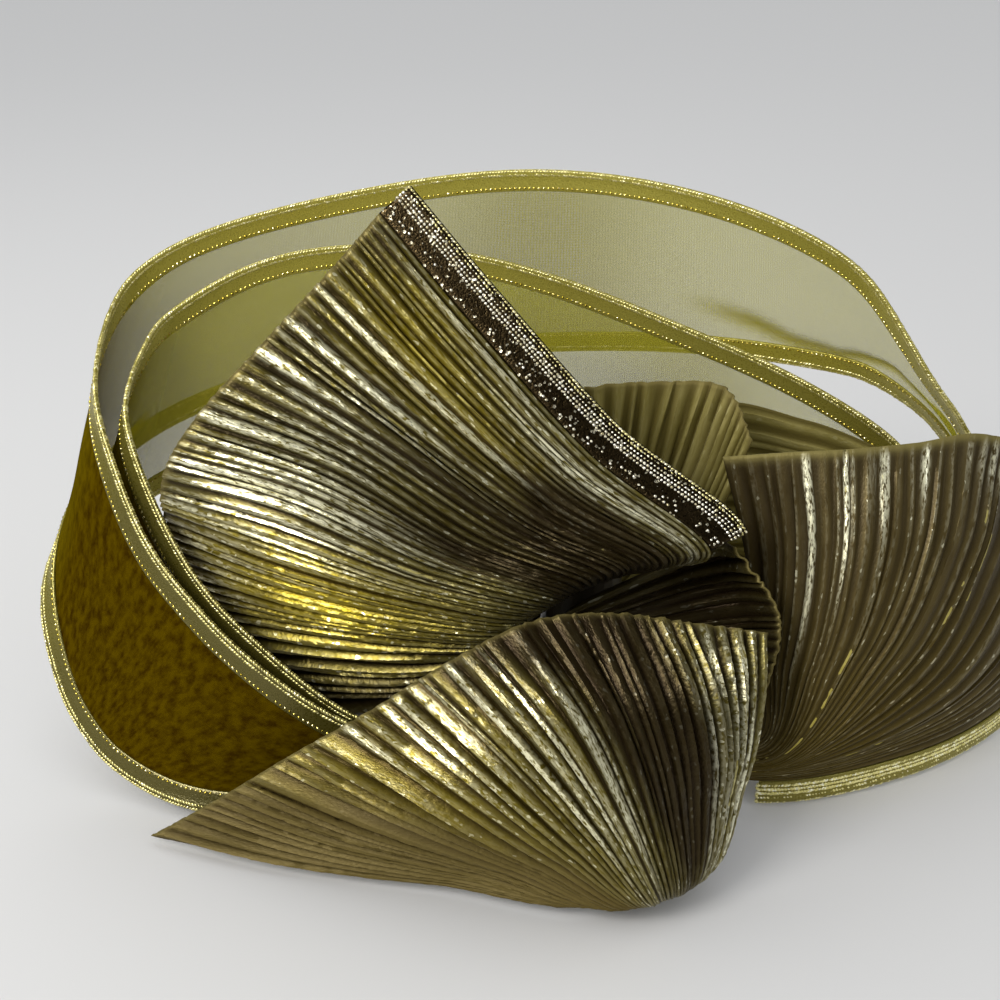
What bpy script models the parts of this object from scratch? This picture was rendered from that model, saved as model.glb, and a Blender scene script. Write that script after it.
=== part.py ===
"""Ribbon fascinator lying on its comb: two sheer loops and pleated leaves round a post."""
import math

import bmesh
import bpy
from mathutils import Vector

MM = 0.001

# The lengths that the table columns are shares of, in millimetres
REACH = 100.0  # sideways: columns x
DEPTH = 100.0  # front to back: columns y
RISE = 100.0  # upwards: columns z

CLEARANCE = 0.35  # air between neighbouring pieces
SEWN_GAP = 0.6  # air between the post and the sewn ends

# The comb, with the post that the ribbons are sewn round
POST_X = 0.16  # share of REACH
POST_Y = 0.08  # share of DEPTH
POST_RADIUS = 8.0
POST_HEIGHT = 0.48  # share of RISE
POST_SIDES = 24
PLATE_WIDTH = 40.0
PLATE_DEPTH = 18.0
PLATE_THICKNESS = 2.0
TOOTH_COUNT = 10
TOOTH_LENGTH = 30.0
TOOTH_SHARE = 0.5  # of the pitch
TOOTH_TIP_SHARE = 0.35  # of the tooth's width

# The ribbons
SHEER_WALL = 1.0
PLEATED_WALL = 1.2
BRAID_WIDTH = 4.6
BRAID_THICKNESS = 1.6
UPPER_HEM_WIDTH = 7.5
RIGHT_HEM_WIDTH = 5.0
HEM_THICKNESS = 2.0
PLEAT_SLOPE = 0.55  # a pleat's height over its half pitch
PLEAT_LIMIT = 1.0  # the most that a pleat stands out
LOOP_STATIONS = 54
LOOP_STRIPS = 3
HEM_STATIONS = 20
HEM_HINT = 0.08  # share across a leaf that shows which way its hem points

# Columns: top edge x, y, z, bottom edge x, y, z. Rows: from the front round the back.
OUTER_LOOP = [
    (-0.13, -0.12, 0.17, -0.30, -0.15, 0.03),
    (-0.29, -0.15, 0.21, -0.57, -0.17, 0.015),
    (-0.47, -0.11, 0.33, -0.745, -0.09, 0.05),
    (-0.575, -0.05, 0.415, -0.82, -0.04, 0.105),
    (-0.675, 0.03, 0.505, -0.875, 0.01, 0.18),
    (-0.76, 0.15, 0.66, -0.915, 0.10, 0.31),
    (-0.80, 0.27, 0.76, -0.89, 0.23, 0.44),
    (-0.77, 0.43, 0.895, -0.83, 0.38, 0.50),
    (-0.635, 0.52, 0.98, -0.69, 0.52, 0.57),
    (-0.34, 0.60, 1.045, -0.38, 0.62, 0.64),
    (0.05, 0.63, 1.095, 0.045, 0.66, 0.673),
    (0.42, 0.59, 1.055, 0.43, 0.64, 0.68),
    (0.70, 0.49, 0.955, 0.72, 0.57, 0.66),
    (0.81, 0.43, 0.84, 0.815, 0.54, 0.64),
    (0.90, 0.38, 0.70, 0.90, 0.50, 0.597),
    (0.965, 0.35, 0.62, 0.97, 0.47, 0.53),
    (1.04, 0.34, 0.46, 1.05, 0.43, 0.37),
    (1.02, 0.28, 0.31, 1.02, 0.34, 0.18),
    (0.80, 0.27, 0.21, 0.80, 0.31, 0.08),
    (0.45, 0.23, 0.20, 0.45, 0.25, 0.065),
]
# The same columns and order, for the loop nested inside
INNER_LOOP = [
    (-0.13, -0.08, 0.16, -0.30, -0.10, 0.03),
    (-0.28, -0.12, 0.205, -0.535, -0.12, 0.015),
    (-0.45, -0.07, 0.33, -0.69, -0.04, 0.075),
    (-0.56, -0.01, 0.417, -0.775, 0.01, 0.124),
    (-0.645, 0.07, 0.52, -0.84, 0.05, 0.158),
    (-0.71, 0.15, 0.65, -0.885, 0.14, 0.27),
    (-0.725, 0.22, 0.73, -0.865, 0.22, 0.34),
    (-0.70, 0.30, 0.81, -0.82, 0.30, 0.40),
    (-0.65, 0.37, 0.865, -0.75, 0.36, 0.44),
    (-0.51, 0.44, 0.935, -0.595, 0.43, 0.50),
    (-0.325, 0.49, 0.962, -0.37, 0.48, 0.53),
    (-0.085, 0.51, 0.945, -0.10, 0.50, 0.52),
    (0.15, 0.49, 0.886, 0.155, 0.49, 0.50),
    (0.36, 0.45, 0.81, 0.37, 0.45, 0.47),
    (0.56, 0.40, 0.736, 0.575, 0.41, 0.44),
    (0.735, 0.34, 0.652, 0.74, 0.37, 0.42),
    (0.84, 0.31, 0.57, 0.84, 0.34, 0.34),
    (0.88, 0.24, 0.45, 0.87, 0.25, 0.24),
    (0.78, 0.17, 0.34, 0.77, 0.18, 0.14),
    (0.50, 0.16, 0.28, 0.50, 0.17, 0.09),
]
# Columns: angle round the post in degrees, top z, bottom z. Rows: first end, last end.
OUTER_LOOP_ENDS = [(-140, 0.18, 0.055), (50, 0.19, 0.06)]
INNER_LOOP_ENDS = [(-165, 0.175, 0.055), (28, 0.26, 0.09)]

# Each leaf is a net: one row per pleat line, from one side of the leaf to the other.
# Columns: x, y, z at the open edge, at two places on the way, and at the gathered end,
# then the angle round the post and the z of the row's sewn end.
UPPER_LEAF = [
    (-0.215, 0.11, 1.11, -0.05, 0.03, 0.93, 0.16, -0.07, 0.72, 0.375, -0.14, 0.56, -62, 0.46),
    (-0.30, 0.07, 1.02, -0.105, -0.02, 0.83, 0.105, -0.11, 0.66, 0.295, -0.16, 0.555, -78, 0.45),
    (-0.425, 0.03, 0.895, -0.205, -0.05, 0.76, 0.035, -0.12, 0.605, 0.21, -0.17, 0.54, -94, 0.43),
    (-0.55, -0.01, 0.765, -0.305, -0.06, 0.69, -0.065, -0.12, 0.565, 0.13, -0.17, 0.51, -110, 0.41),
    (-0.625, 0.01, 0.64, -0.375, -0.09, 0.61, -0.125, -0.14, 0.52, 0.08, -0.16, 0.47, -126, 0.39),
    (-0.64, 0.145, 0.475, -0.40, -0.06, 0.475, -0.16, -0.13, 0.44, 0.025, -0.14, 0.415, -142, 0.37),
    (-0.56, 0.12, 0.31, -0.365, -0.03, 0.325, -0.165, -0.09, 0.335, -0.01, -0.10, 0.35, -158, 0.345),
    (-0.40, 0.06, 0.105, -0.235, 0.00, 0.125, -0.11, -0.035, 0.175, -0.02, -0.02, 0.24, -170, 0.30),
]
CENTRE_FOLD = [
    (0.425, -0.09, 0.545, 0.395, -0.03, 0.525, 0.32, -0.015, 0.48, 0.14, -0.085, 0.425, -118, 0.34),
    (0.495, -0.13, 0.46, 0.44, -0.055, 0.42, 0.33, -0.04, 0.39, 0.15, -0.095, 0.36, -115, 0.28),
    (0.51, -0.15, 0.39, 0.45, -0.085, 0.35, 0.335, -0.065, 0.32, 0.16, -0.10, 0.28, -112, 0.21),
    (0.49, -0.16, 0.28, 0.44, -0.13, 0.26, 0.34, -0.10, 0.24, 0.17, -0.11, 0.19, -109, 0.14),
]
LOWER_LEAF = [
    (-0.655, -0.24, 0.018, -0.42, -0.32, 0.02, -0.125, -0.38, 0.025, 0.175, -0.42, 0.03, -100, 0.055),
    (-0.52, -0.27, 0.12, -0.30, -0.36, 0.10, -0.055, -0.41, 0.07, 0.20, -0.43, 0.032, -95, 0.06),
    (-0.37, -0.30, 0.24, -0.17, -0.40, 0.19, 0.035, -0.44, 0.11, 0.225, -0.44, 0.032, -90, 0.065),
    (-0.225, -0.32, 0.345, -0.06, -0.44, 0.275, 0.10, -0.47, 0.155, 0.245, -0.44, 0.034, -85, 0.07),
    (-0.085, -0.34, 0.455, 0.05, -0.46, 0.36, 0.165, -0.485, 0.205, 0.265, -0.44, 0.034, -80, 0.075),
    (0.05, -0.33, 0.525, 0.155, -0.46, 0.415, 0.23, -0.485, 0.24, 0.285, -0.43, 0.036, -75, 0.08),
    (0.185, -0.30, 0.525, 0.245, -0.43, 0.415, 0.29, -0.455, 0.245, 0.31, -0.42, 0.038, -70, 0.085),
    (0.325, -0.26, 0.485, 0.36, -0.355, 0.38, 0.375, -0.395, 0.23, 0.335, -0.395, 0.04, -65, 0.09),
    (0.48, -0.19, 0.425, 0.47, -0.25, 0.31, 0.435, -0.315, 0.19, 0.36, -0.36, 0.045, -60, 0.095),
]
RIGHT_LEAF = [
    (0.415, 0.04, 0.67, 0.465, 0.01, 0.48, 0.485, -0.04, 0.285, 0.48, -0.10, 0.14, -40, 0.13),
    (0.53, -0.01, 0.70, 0.55, -0.06, 0.515, 0.54, -0.095, 0.31, 0.49, -0.12, 0.13, -38, 0.12),
    (0.635, -0.02, 0.71, 0.63, -0.10, 0.535, 0.595, -0.14, 0.33, 0.50, -0.14, 0.12, -36, 0.11),
    (0.76, 0.01, 0.71, 0.735, -0.09, 0.54, 0.665, -0.14, 0.335, 0.51, -0.14, 0.11, -34, 0.10),
    (0.91, 0.08, 0.70, 0.86, -0.04, 0.525, 0.755, -0.11, 0.31, 0.52, -0.14, 0.10, -32, 0.09),
    (1.07, 0.19, 0.60, 0.99, 0.05, 0.41, 0.84, -0.06, 0.22, 0.51, -0.135, 0.09, -30, 0.08),
    (1.15, 0.26, 0.36, 1.07, 0.11, 0.23, 0.87, -0.02, 0.13, 0.505, -0.13, 0.08, -28, 0.07),
    (1.14, 0.25, 0.12, 1.045, 0.125, 0.065, 0.80, -0.04, 0.06, 0.49, -0.12, 0.06, -26, 0.06),
]
RIGHT_LEAF_BACK = [
    (0.80, 0.245, 0.575, 0.62, 0.27, 0.625, 0.40, 0.285, 0.64, 0.16, 0.30, 0.46, 98, 0.38),
    (0.80, 0.24, 0.45, 0.62, 0.265, 0.48, 0.40, 0.28, 0.48, 0.155, 0.295, 0.38, 98, 0.32),
    (0.80, 0.23, 0.32, 0.62, 0.255, 0.33, 0.40, 0.27, 0.33, 0.15, 0.29, 0.30, 98, 0.26),
]
BACK_LEAF = [
    (0.09, 0.19, 0.735, 0.13, 0.20, 0.60, 0.15, 0.20, 0.50, 0.165, 0.19, 0.47, 82, 0.46),
    (0.20, 0.215, 0.75, 0.205, 0.215, 0.61, 0.205, 0.20, 0.50, 0.20, 0.185, 0.45, 66, 0.43),
    (0.31, 0.22, 0.755, 0.285, 0.215, 0.61, 0.265, 0.195, 0.49, 0.24, 0.17, 0.43, 49, 0.40),
    (0.415, 0.20, 0.76, 0.37, 0.19, 0.60, 0.32, 0.17, 0.47, 0.27, 0.15, 0.40, 34, 0.37),
    (0.45, 0.14, 0.745, 0.40, 0.13, 0.58, 0.34, 0.125, 0.45, 0.285, 0.12, 0.38, 20, 0.34),
    (0.475, 0.085, 0.685, 0.42, 0.085, 0.53, 0.35, 0.09, 0.41, 0.29, 0.095, 0.35, 8, 0.31),
]
# Columns: pleats across, stations along
UPPER_LEAF_MESH = (21, 10)
CENTRE_FOLD_MESH = (8, 8)
LOWER_LEAF_MESH = (22, 10)
RIGHT_LEAF_MESH = (18, 9)
RIGHT_LEAF_BACK_MESH = (7, 9)
BACK_LEAF_MESH = (10, 7)
HEM_END = 0.74  # share of the leaf's length where its hem stops


def point(x, y, z):
    """Point of the arrangement from its table shares."""
    return Vector((x * REACH, y * DEPTH, z * RISE))


def post_point(angle, z):
    """Point just clear of the post, where a ribbon is sewn on."""
    turn = math.radians(angle)
    reach = POST_RADIUS + SEWN_GAP
    across = Vector((math.cos(turn), math.sin(turn), 0.0)) * reach
    return point(POST_X, POST_Y, z) + across


def along(points, share):
    """Point on the smooth curve through the points, share 0 to 1 of the way."""
    spans = len(points) - 1
    place = share * spans
    first = min(int(place), spans - 1)
    part = place - first
    start, end = points[first], points[first + 1]
    before = points[first - 1] if first > 0 else start * 2 - end
    after = points[first + 2] if first + 2 <= spans else end * 2 - start
    bend = before * 2 - start * 5 + end * 4 - after
    twist = start * 3 - before - end * 3 + after
    return start + ((end - before) * part + bend * part**2 + twist * part**3) * 0.5


def leaf_net(rows):
    """Control points of a leaf, one row per pleat line."""
    return [
        [point(*row[at:at + 3]) for at in range(0, 12, 3)] + [post_point(*row[12:])]
        for row in rows
    ]


def loop_edges(rows, ends):
    """Control points of a loop's top and bottom edges, from post to post."""
    (first, last) = ends
    tops = [point(*row[:3]) for row in rows]
    lows = [point(*row[3:]) for row in rows]
    tops = [post_point(first[0], first[1])] + tops + [post_point(last[0], last[1])]
    lows = [post_point(first[0], first[2])] + lows + [post_point(last[0], last[2])]
    return tops, lows


def grid_normals(grid):
    """Unit normal at each point of a grid."""
    rows, columns = len(grid), len(grid[0])
    normals = []
    for i in range(rows):
        line = []
        for j in range(columns):
            across = grid[min(i + 1, rows - 1)][j] - grid[max(i - 1, 0)][j]
            onward = grid[i][min(j + 1, columns - 1)] - grid[i][max(j - 1, 0)]
            line.append(across.cross(onward).normalized())
        normals.append(line)
    return normals


def make_object(name, points, faces, material):
    """Mesh object in metres with its faces turned outwards."""
    mesh = bpy.data.meshes.new(name)
    shape = bmesh.new()
    made = [shape.verts.new(place * MM) for place in points]
    for face in faces:
        shape.faces.new([made[corner] for corner in face])
    bmesh.ops.recalc_face_normals(shape, faces=shape.faces)
    bmesh.ops.triangulate(shape, faces=shape.faces, quad_method="FIXED")
    shape.to_mesh(mesh)
    shape.free()
    mesh.materials.append(material)
    item = bpy.data.objects.new(name, mesh)
    bpy.context.collection.objects.link(item)
    return item


def wall_object(name, grid, lifts, wall, material):
    """Closed wall of even thickness round a grid of points, each moved by its lift."""
    rows, columns = len(grid), len(grid[0])
    normals = grid_normals(grid)
    points = []
    for side in (0.5, -0.5):
        for i in range(rows):
            for j in range(columns):
                points.append(grid[i][j] + normals[i][j] * (lifts[i][j] + side * wall))
    back = rows * columns
    faces = []
    for i in range(rows - 1):
        for j in range(columns - 1):
            a, b = i * columns + j, (i + 1) * columns + j
            faces.append((a, b, b + 1, a + 1))
            faces.append((back + a + 1, back + b + 1, back + b, back + a))
    rim = [j for j in range(columns)]
    rim += [i * columns + columns - 1 for i in range(1, rows)]
    rim += [(rows - 1) * columns + j for j in range(columns - 2, -1, -1)]
    rim += [i * columns for i in range(rows - 2, 0, -1)]
    for here, there in zip(rim, rim[1:] + rim[:1]):
        faces.append((here, there, back + there, back + here))
    return make_object(name, points, faces, material)


def square_sides(edge, hints):
    """Unit vectors across an edge, square to it and nearest to the hints."""
    last = len(edge) - 1
    sides, normals = [], []
    for k, hint in enumerate(hints):
        onward = (edge[min(k + 1, last)] - edge[max(k - 1, 0)]).normalized()
        side = (hint - onward * hint.dot(onward)).normalized()
        sides.append(side)
        normals.append(side.cross(onward))
    return sides, normals


def band_object(name, edge, hints, width, thickness, material):
    """Closed band beside an edge, one clearance away from it."""
    sides, normals = square_sides(edge, hints)
    points = []
    for place, side, normal in zip(edge, sides, normals):
        near = place + side * CLEARANCE
        far = near + side * width
        half = normal * (thickness / 2)
        points += [near + half, far + half, far - half, near - half]
    faces = [(0, 1, 2, 3)]
    for start in range(0, len(points) - 4, 4):
        for corner in range(4):
            after = (corner + 1) % 4
            faces.append((start + corner, start + 4 + corner, start + 4 + after, start + after))
    last = len(points) - 4
    faces.append((last + 3, last + 2, last + 1, last))
    return make_object(name, points, faces, material)


def pleated_leaf(name, rows, mesh_size, material):
    """Leaf with pleats that run from the open edge to the gathered end."""
    pleats, stations = mesh_size
    lines = 2 * pleats
    net = leaf_net(rows)
    grid = []
    for i in range(lines + 1):
        grid.append([
            along([along(row, j / stations) for row in net], i / lines)
            for j in range(stations + 1)
        ])
    lifts = []
    for i in range(lines + 1):
        beside = grid[i + 1] if i < lines else grid[i - 1]
        side = 1 if i % 2 else -1
        lifts.append([
            side * min(PLEAT_SLOPE * (here - there).length, PLEAT_LIMIT) / 2
            for here, there in zip(grid[i], beside)
        ])
    wall_object(name, grid, lifts, PLEATED_WALL, material)
    return net


def leaf_hem(name, net, side, width, hint, material):
    """Beaded hem along one side of a leaf, stopping where the leaf is gathered."""
    edge, hints = [], []
    for k in range(HEM_STATIONS + 1):
        share = HEM_END * k / HEM_STATIONS
        places = [along(row, share) for row in net]
        edge.append(along(places, side))
        hints.append(hint or edge[-1] - along(places, HEM_HINT))
    band_object(name, edge, hints, width, HEM_THICKNESS, material)


def sheer_loop(name, rows, ends, sheer, braid):
    """Sheer ribbon with a braid along each of its two edges."""
    tops, lows = loop_edges(rows, ends)
    shares = [k / LOOP_STATIONS for k in range(LOOP_STATIONS + 1)]
    top_edge = [along(tops, share) for share in shares]
    low_edge = [along(lows, share) for share in shares]
    ups = [top - low for top, low in zip(top_edge, low_edge)]
    downs = [-up for up in ups]
    inset = BRAID_WIDTH + CLEARANCE
    top_sides, _ = square_sides(top_edge, ups)
    low_sides, _ = square_sides(low_edge, downs)
    top_edge = [place - side * inset for place, side in zip(top_edge, top_sides)]
    low_edge = [place - side * inset for place, side in zip(low_edge, low_sides)]
    grid = [
        [low.lerp(top, i / LOOP_STRIPS) for low, top in zip(low_edge, top_edge)]
        for i in range(LOOP_STRIPS + 1)
    ]
    flat = [[0.0] * len(top_edge) for _ in grid]
    wall_object(name, grid, flat, SHEER_WALL, sheer)
    band_object(name + "_top_braid", top_edge, ups, BRAID_WIDTH, BRAID_THICKNESS, braid)
    band_object(name + "_bottom_braid", low_edge, downs, BRAID_WIDTH, BRAID_THICKNESS, braid)


def hair_comb(name, material):
    """Comb plate with its teeth, and the post standing on it."""
    left = POST_X * REACH - PLATE_WIDTH / 2
    front = POST_Y * DEPTH - PLATE_DEPTH / 2
    back = front + PLATE_DEPTH
    pitch = PLATE_WIDTH / TOOTH_COUNT
    margin = pitch * (1 - TOOTH_SHARE) / 2
    narrow = pitch * TOOTH_SHARE * (1 - TOOTH_TIP_SHARE) / 2
    outline = [(left, back), (left, front), (left + PLATE_WIDTH, front), (left + PLATE_WIDTH, back)]
    for tooth in range(TOOTH_COUNT - 1, -1, -1):
        start = left + tooth * pitch + margin
        end = start + pitch * TOOTH_SHARE
        tip = back + TOOTH_LENGTH
        outline += [(end, back), (end - narrow, tip), (start + narrow, tip), (start, back)]
    count = len(outline)
    points = [Vector((x, y, 0.0)) for x, y in outline]
    points += [Vector((x, y, PLATE_THICKNESS)) for x, y in outline]
    faces = [tuple(range(count)), tuple(range(2 * count - 1, count - 1, -1))]
    for here in range(count):
        there = (here + 1) % count
        faces.append((here, there, count + there, count + here))
    comb = make_object(name, points, faces, material)

    middle = point(POST_X, POST_Y, 0.0)
    points, faces = [], []
    for z in (PLATE_THICKNESS / 2, POST_HEIGHT * RISE):
        for side in range(POST_SIDES):
            turn = 2 * math.pi * side / POST_SIDES
            around = Vector((math.cos(turn), math.sin(turn), 0.0)) * POST_RADIUS
            points.append(middle + around + Vector((0.0, 0.0, z)))
    faces.append(tuple(range(POST_SIDES)))
    faces.append(tuple(range(2 * POST_SIDES - 1, POST_SIDES - 1, -1)))
    for here in range(POST_SIDES):
        there = (here + 1) % POST_SIDES
        faces.append((here, there, POST_SIDES + there, POST_SIDES + here))
    post = make_object("post_cutter", points, faces, material)
    post.hide_render = True
    post.display_type = "WIRE"
    join = comb.modifiers.new("post", "BOOLEAN")
    join.operation = "UNION"
    join.solver = "EXACT"
    join.object = post


def plain_material(name, colour, metallic, roughness):
    material = bpy.data.materials.new(name)
    material.use_nodes = True
    shader = material.node_tree.nodes["Principled BSDF"]
    shader.inputs["Base Color"].default_value = (*colour, 1.0)
    shader.inputs["Metallic"].default_value = metallic
    shader.inputs["Roughness"].default_value = roughness
    return material


def centre_on_base():
    """Moves every mesh so that the whole stands centred on the origin, on z = 0."""
    shapes = [item for item in bpy.data.objects if item.type == "MESH"]
    corners = [corner.co for item in shapes for corner in item.data.vertices]
    low = [min(place[axis] for place in corners) for axis in range(3)]
    high = [max(place[axis] for place in corners) for axis in range(3)]
    shift = Vector((-(low[0] + high[0]) / 2, -(low[1] + high[1]) / 2, -low[2]))
    for item in shapes:
        for corner in item.data.vertices:
            corner.co += shift


for item in list(bpy.data.objects):
    bpy.data.objects.remove(item)

lame = plain_material("pleated_lame", (0.42, 0.34, 0.13), 0.9, 0.3)
lame_back = plain_material("pleated_lame_back", (0.50, 0.45, 0.24), 0.6, 0.45)
sheer_gold = plain_material("sheer_gold", (0.55, 0.45, 0.08), 0.1, 0.5)
gold_braid = plain_material("gold_braid", (0.62, 0.52, 0.14), 1.0, 0.3)
bead_hem = plain_material("bead_hem", (0.50, 0.44, 0.22), 1.0, 0.3)
comb_plastic = plain_material("comb_plastic", (0.08, 0.06, 0.03), 0.0, 0.5)

hair_comb("hair_comb", comb_plastic)
sheer_loop("outer_loop", OUTER_LOOP, OUTER_LOOP_ENDS, sheer_gold, gold_braid)
sheer_loop("inner_loop", INNER_LOOP, INNER_LOOP_ENDS, sheer_gold, gold_braid)
upper_net = pleated_leaf("upper_leaf", UPPER_LEAF, UPPER_LEAF_MESH, lame)
leaf_hem("upper_leaf_hem", upper_net, 0.0, UPPER_HEM_WIDTH, None, bead_hem)
pleated_leaf("centre_fold", CENTRE_FOLD, CENTRE_FOLD_MESH, lame)
pleated_leaf("lower_leaf", LOWER_LEAF, LOWER_LEAF_MESH, lame)
right_net = pleated_leaf("right_leaf", RIGHT_LEAF, RIGHT_LEAF_MESH, lame)
down = Vector((0.0, 0.0, -1.0))
leaf_hem("right_leaf_hem", right_net, 1.0, RIGHT_HEM_WIDTH, down, gold_braid)
pleated_leaf("right_leaf_back", RIGHT_LEAF_BACK, RIGHT_LEAF_BACK_MESH, lame_back)
pleated_leaf("back_leaf", BACK_LEAF, BACK_LEAF_MESH, lame_back)
centre_on_base()
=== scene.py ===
import math

import bpy
import numpy as np
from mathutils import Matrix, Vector


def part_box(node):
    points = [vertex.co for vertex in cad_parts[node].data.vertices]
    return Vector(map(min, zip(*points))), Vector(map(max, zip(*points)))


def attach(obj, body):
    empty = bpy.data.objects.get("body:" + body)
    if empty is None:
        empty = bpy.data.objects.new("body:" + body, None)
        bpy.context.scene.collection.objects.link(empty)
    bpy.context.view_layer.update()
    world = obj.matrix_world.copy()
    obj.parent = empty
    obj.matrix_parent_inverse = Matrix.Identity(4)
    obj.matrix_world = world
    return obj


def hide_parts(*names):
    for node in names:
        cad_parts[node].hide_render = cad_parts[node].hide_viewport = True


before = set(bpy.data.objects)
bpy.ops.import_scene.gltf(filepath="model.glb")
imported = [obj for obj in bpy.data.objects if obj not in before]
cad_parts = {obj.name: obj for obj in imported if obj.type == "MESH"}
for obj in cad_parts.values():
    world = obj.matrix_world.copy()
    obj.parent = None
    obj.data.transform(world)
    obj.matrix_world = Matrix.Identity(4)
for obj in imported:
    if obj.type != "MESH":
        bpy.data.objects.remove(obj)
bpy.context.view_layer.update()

mm = 0.001
shareLength = 0.1  # metres that a share of 1 stands for in the tables of x, y and z

comb = dict(
    postX=0.016,  # the post's middle, before the whole was centred
    postY=0.008,
    plateWidth=0.040,
    plateDepth=0.018,
    sewnReach=0.0086,  # from the post's middle out to a sewn end
)
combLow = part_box("hair_comb")[0]
placeShift = np.array([
    combLow[0] - (comb["postX"] - comb["plateWidth"] / 2),
    combLow[1] - (comb["postY"] - comb["plateDepth"] / 2),
    0.0,
])


# Links a socket to an input, or sets the input to a plain value
def feed(value, socket):
    if isinstance(value, bpy.types.NodeSocket):
        socket.id_data.links.new(value, socket)
    elif socket.type == "RGBA" and len(value) == 3:
        socket.default_value = (*value, 1.0)
    else:
        socket.default_value = value


# Feeds inputs of a node, each known by its name or number
def feedAll(node, inputs):
    for key, value in inputs.items():
        feed(value, node.inputs[key])


def addNode(tree, kind, inputs=None, **facts):
    node = tree.nodes.new(kind)
    for fact, value in facts.items():
        setattr(node, fact, value)
    feedAll(node, inputs or {})
    return node


# New node in the tree that the first socket among its inputs belongs to
def nextNode(kind, inputs, **facts):
    tree = next(value.id_data for value in inputs.values() if isinstance(value, bpy.types.NodeSocket))
    return addNode(tree, kind, inputs, **facts)


def calc(operation, *values):
    return nextNode("ShaderNodeMath", dict(enumerate(values)), operation=operation).outputs[0]


def times(first, second):
    return calc("MULTIPLY", first, second)


def plus(first, second):
    return calc("ADD", first, second)


def minus(first, second):
    return calc("SUBTRACT", first, second)


# The first value times the second, plus the third
def timesPlus(*values):
    return calc("MULTIPLY_ADD", *values)


def vectorTimes(first, second):
    return nextNode("ShaderNodeVectorMath", {0: first, 1: second}, operation="MULTIPLY").outputs[0]


def scaled(vector, amount):
    return nextNode("ShaderNodeVectorMath", {0: vector, "Scale": amount}, operation="SCALE").outputs[0]


def mixColours(amount, first, second):
    return nextNode("ShaderNodeMix", {0: amount, 6: first, 7: second}, data_type="RGBA").outputs[2]


def ranged(value, fromLow, fromHigh, low=0.0, high=1.0):
    inputs = dict(enumerate((value, fromLow, fromHigh, low, high)))
    return nextNode("ShaderNodeMapRange", inputs, clamp=True).outputs[0]


def noise(place, scale, detail=2.0, rough=0.5):
    inputs = {"Vector": place, "Scale": scale, "Detail": detail, "Roughness": rough}
    return nextNode("ShaderNodeTexNoise", inputs).outputs["Fac"]


def attribute(tree, name, output="Fac"):
    return addNode(tree, "ShaderNodeAttribute", attribute_name=name).outputs[output]


# Sockets of a node group, their names listed under each kind
def newSockets(tree, direction, **kinds):
    for kind, names in kinds.items():
        for name in names:
            tree.interface.new_socket(name, in_out=direction, socket_type="NodeSocket" + kind)


def newMaterial(name):
    material = bpy.data.materials.new(name)
    material.use_nodes = True
    return material, material.node_tree, material.node_tree.nodes["Principled BSDF"]


def bumpInto(shader, height, strength, distance):
    inputs = {"Strength": strength, "Distance": distance, "Height": height}
    feed(nextNode("ShaderNodeBump", inputs).outputs["Normal"], shader.inputs["Normal"])


foil = dict(
    strokeGrain=0.8,
    strokeLength=(1.0, 0.5, 1.0),
    toneGrain=0.12,
    bowl=0.6,  # depth of the dimple in each cell
    brokenReach=(0.40, 0.54),
)


# Foil threads, used by every metallic cloth: places are in millimetres across and along; its glint cells
# and broken strokes place the painted glints and painted highlights
def foilThreadsGroup():
    tree = bpy.data.node_groups.new("foilThreads", "ShaderNodeTree")
    newSockets(tree, "INPUT", Vector=["Place"], Float=["Grain", "Stretch", "Glint Share"])
    newSockets(tree, "OUTPUT", Float=["Height", "Glint", "Tone", "Broken"])
    given = addNode(tree, "NodeGroupInput").outputs
    grain = given["Grain"]
    squeeze = nextNode("ShaderNodeCombineXYZ", {0: 1.0, 1: given["Stretch"], 2: 1.0})
    place = vectorTimes(given["Place"], squeeze.outputs[0])
    longer = vectorTimes(place, foil["strokeLength"])
    highlightStrokes = noise(longer, times(grain, foil["strokeGrain"]), 2.0, 0.6)
    cells = nextNode("ShaderNodeTexVoronoi", {"Vector": place, "Scale": grain}, feature="F1").outputs
    chance = nextNode("ShaderNodeSeparateColor", {0: cells["Color"]}).outputs[0]
    bowl = times(cells["Distance"], foil["bowl"])
    nextNode("NodeGroupOutput", {
        "Height": plus(noise(place, grain, 3.0, 0.65), bowl),
        "Glint": calc("GREATER_THAN", chance, minus(1.0, given["Glint Share"])),
        "Tone": noise(place, times(grain, foil["toneGrain"])),
        "Broken": ranged(highlightStrokes, *foil["brokenReach"]),
    })
    return tree


foilThreads = foilThreadsGroup()


def foilParts(place, grain, stretch, glintShare):
    inputs = {"Place": place, "Grain": grain, "Stretch": stretch, "Glint Share": glintShare}
    return nextNode("ShaderNodeGroup", inputs, node_tree=foilThreads).outputs
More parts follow.
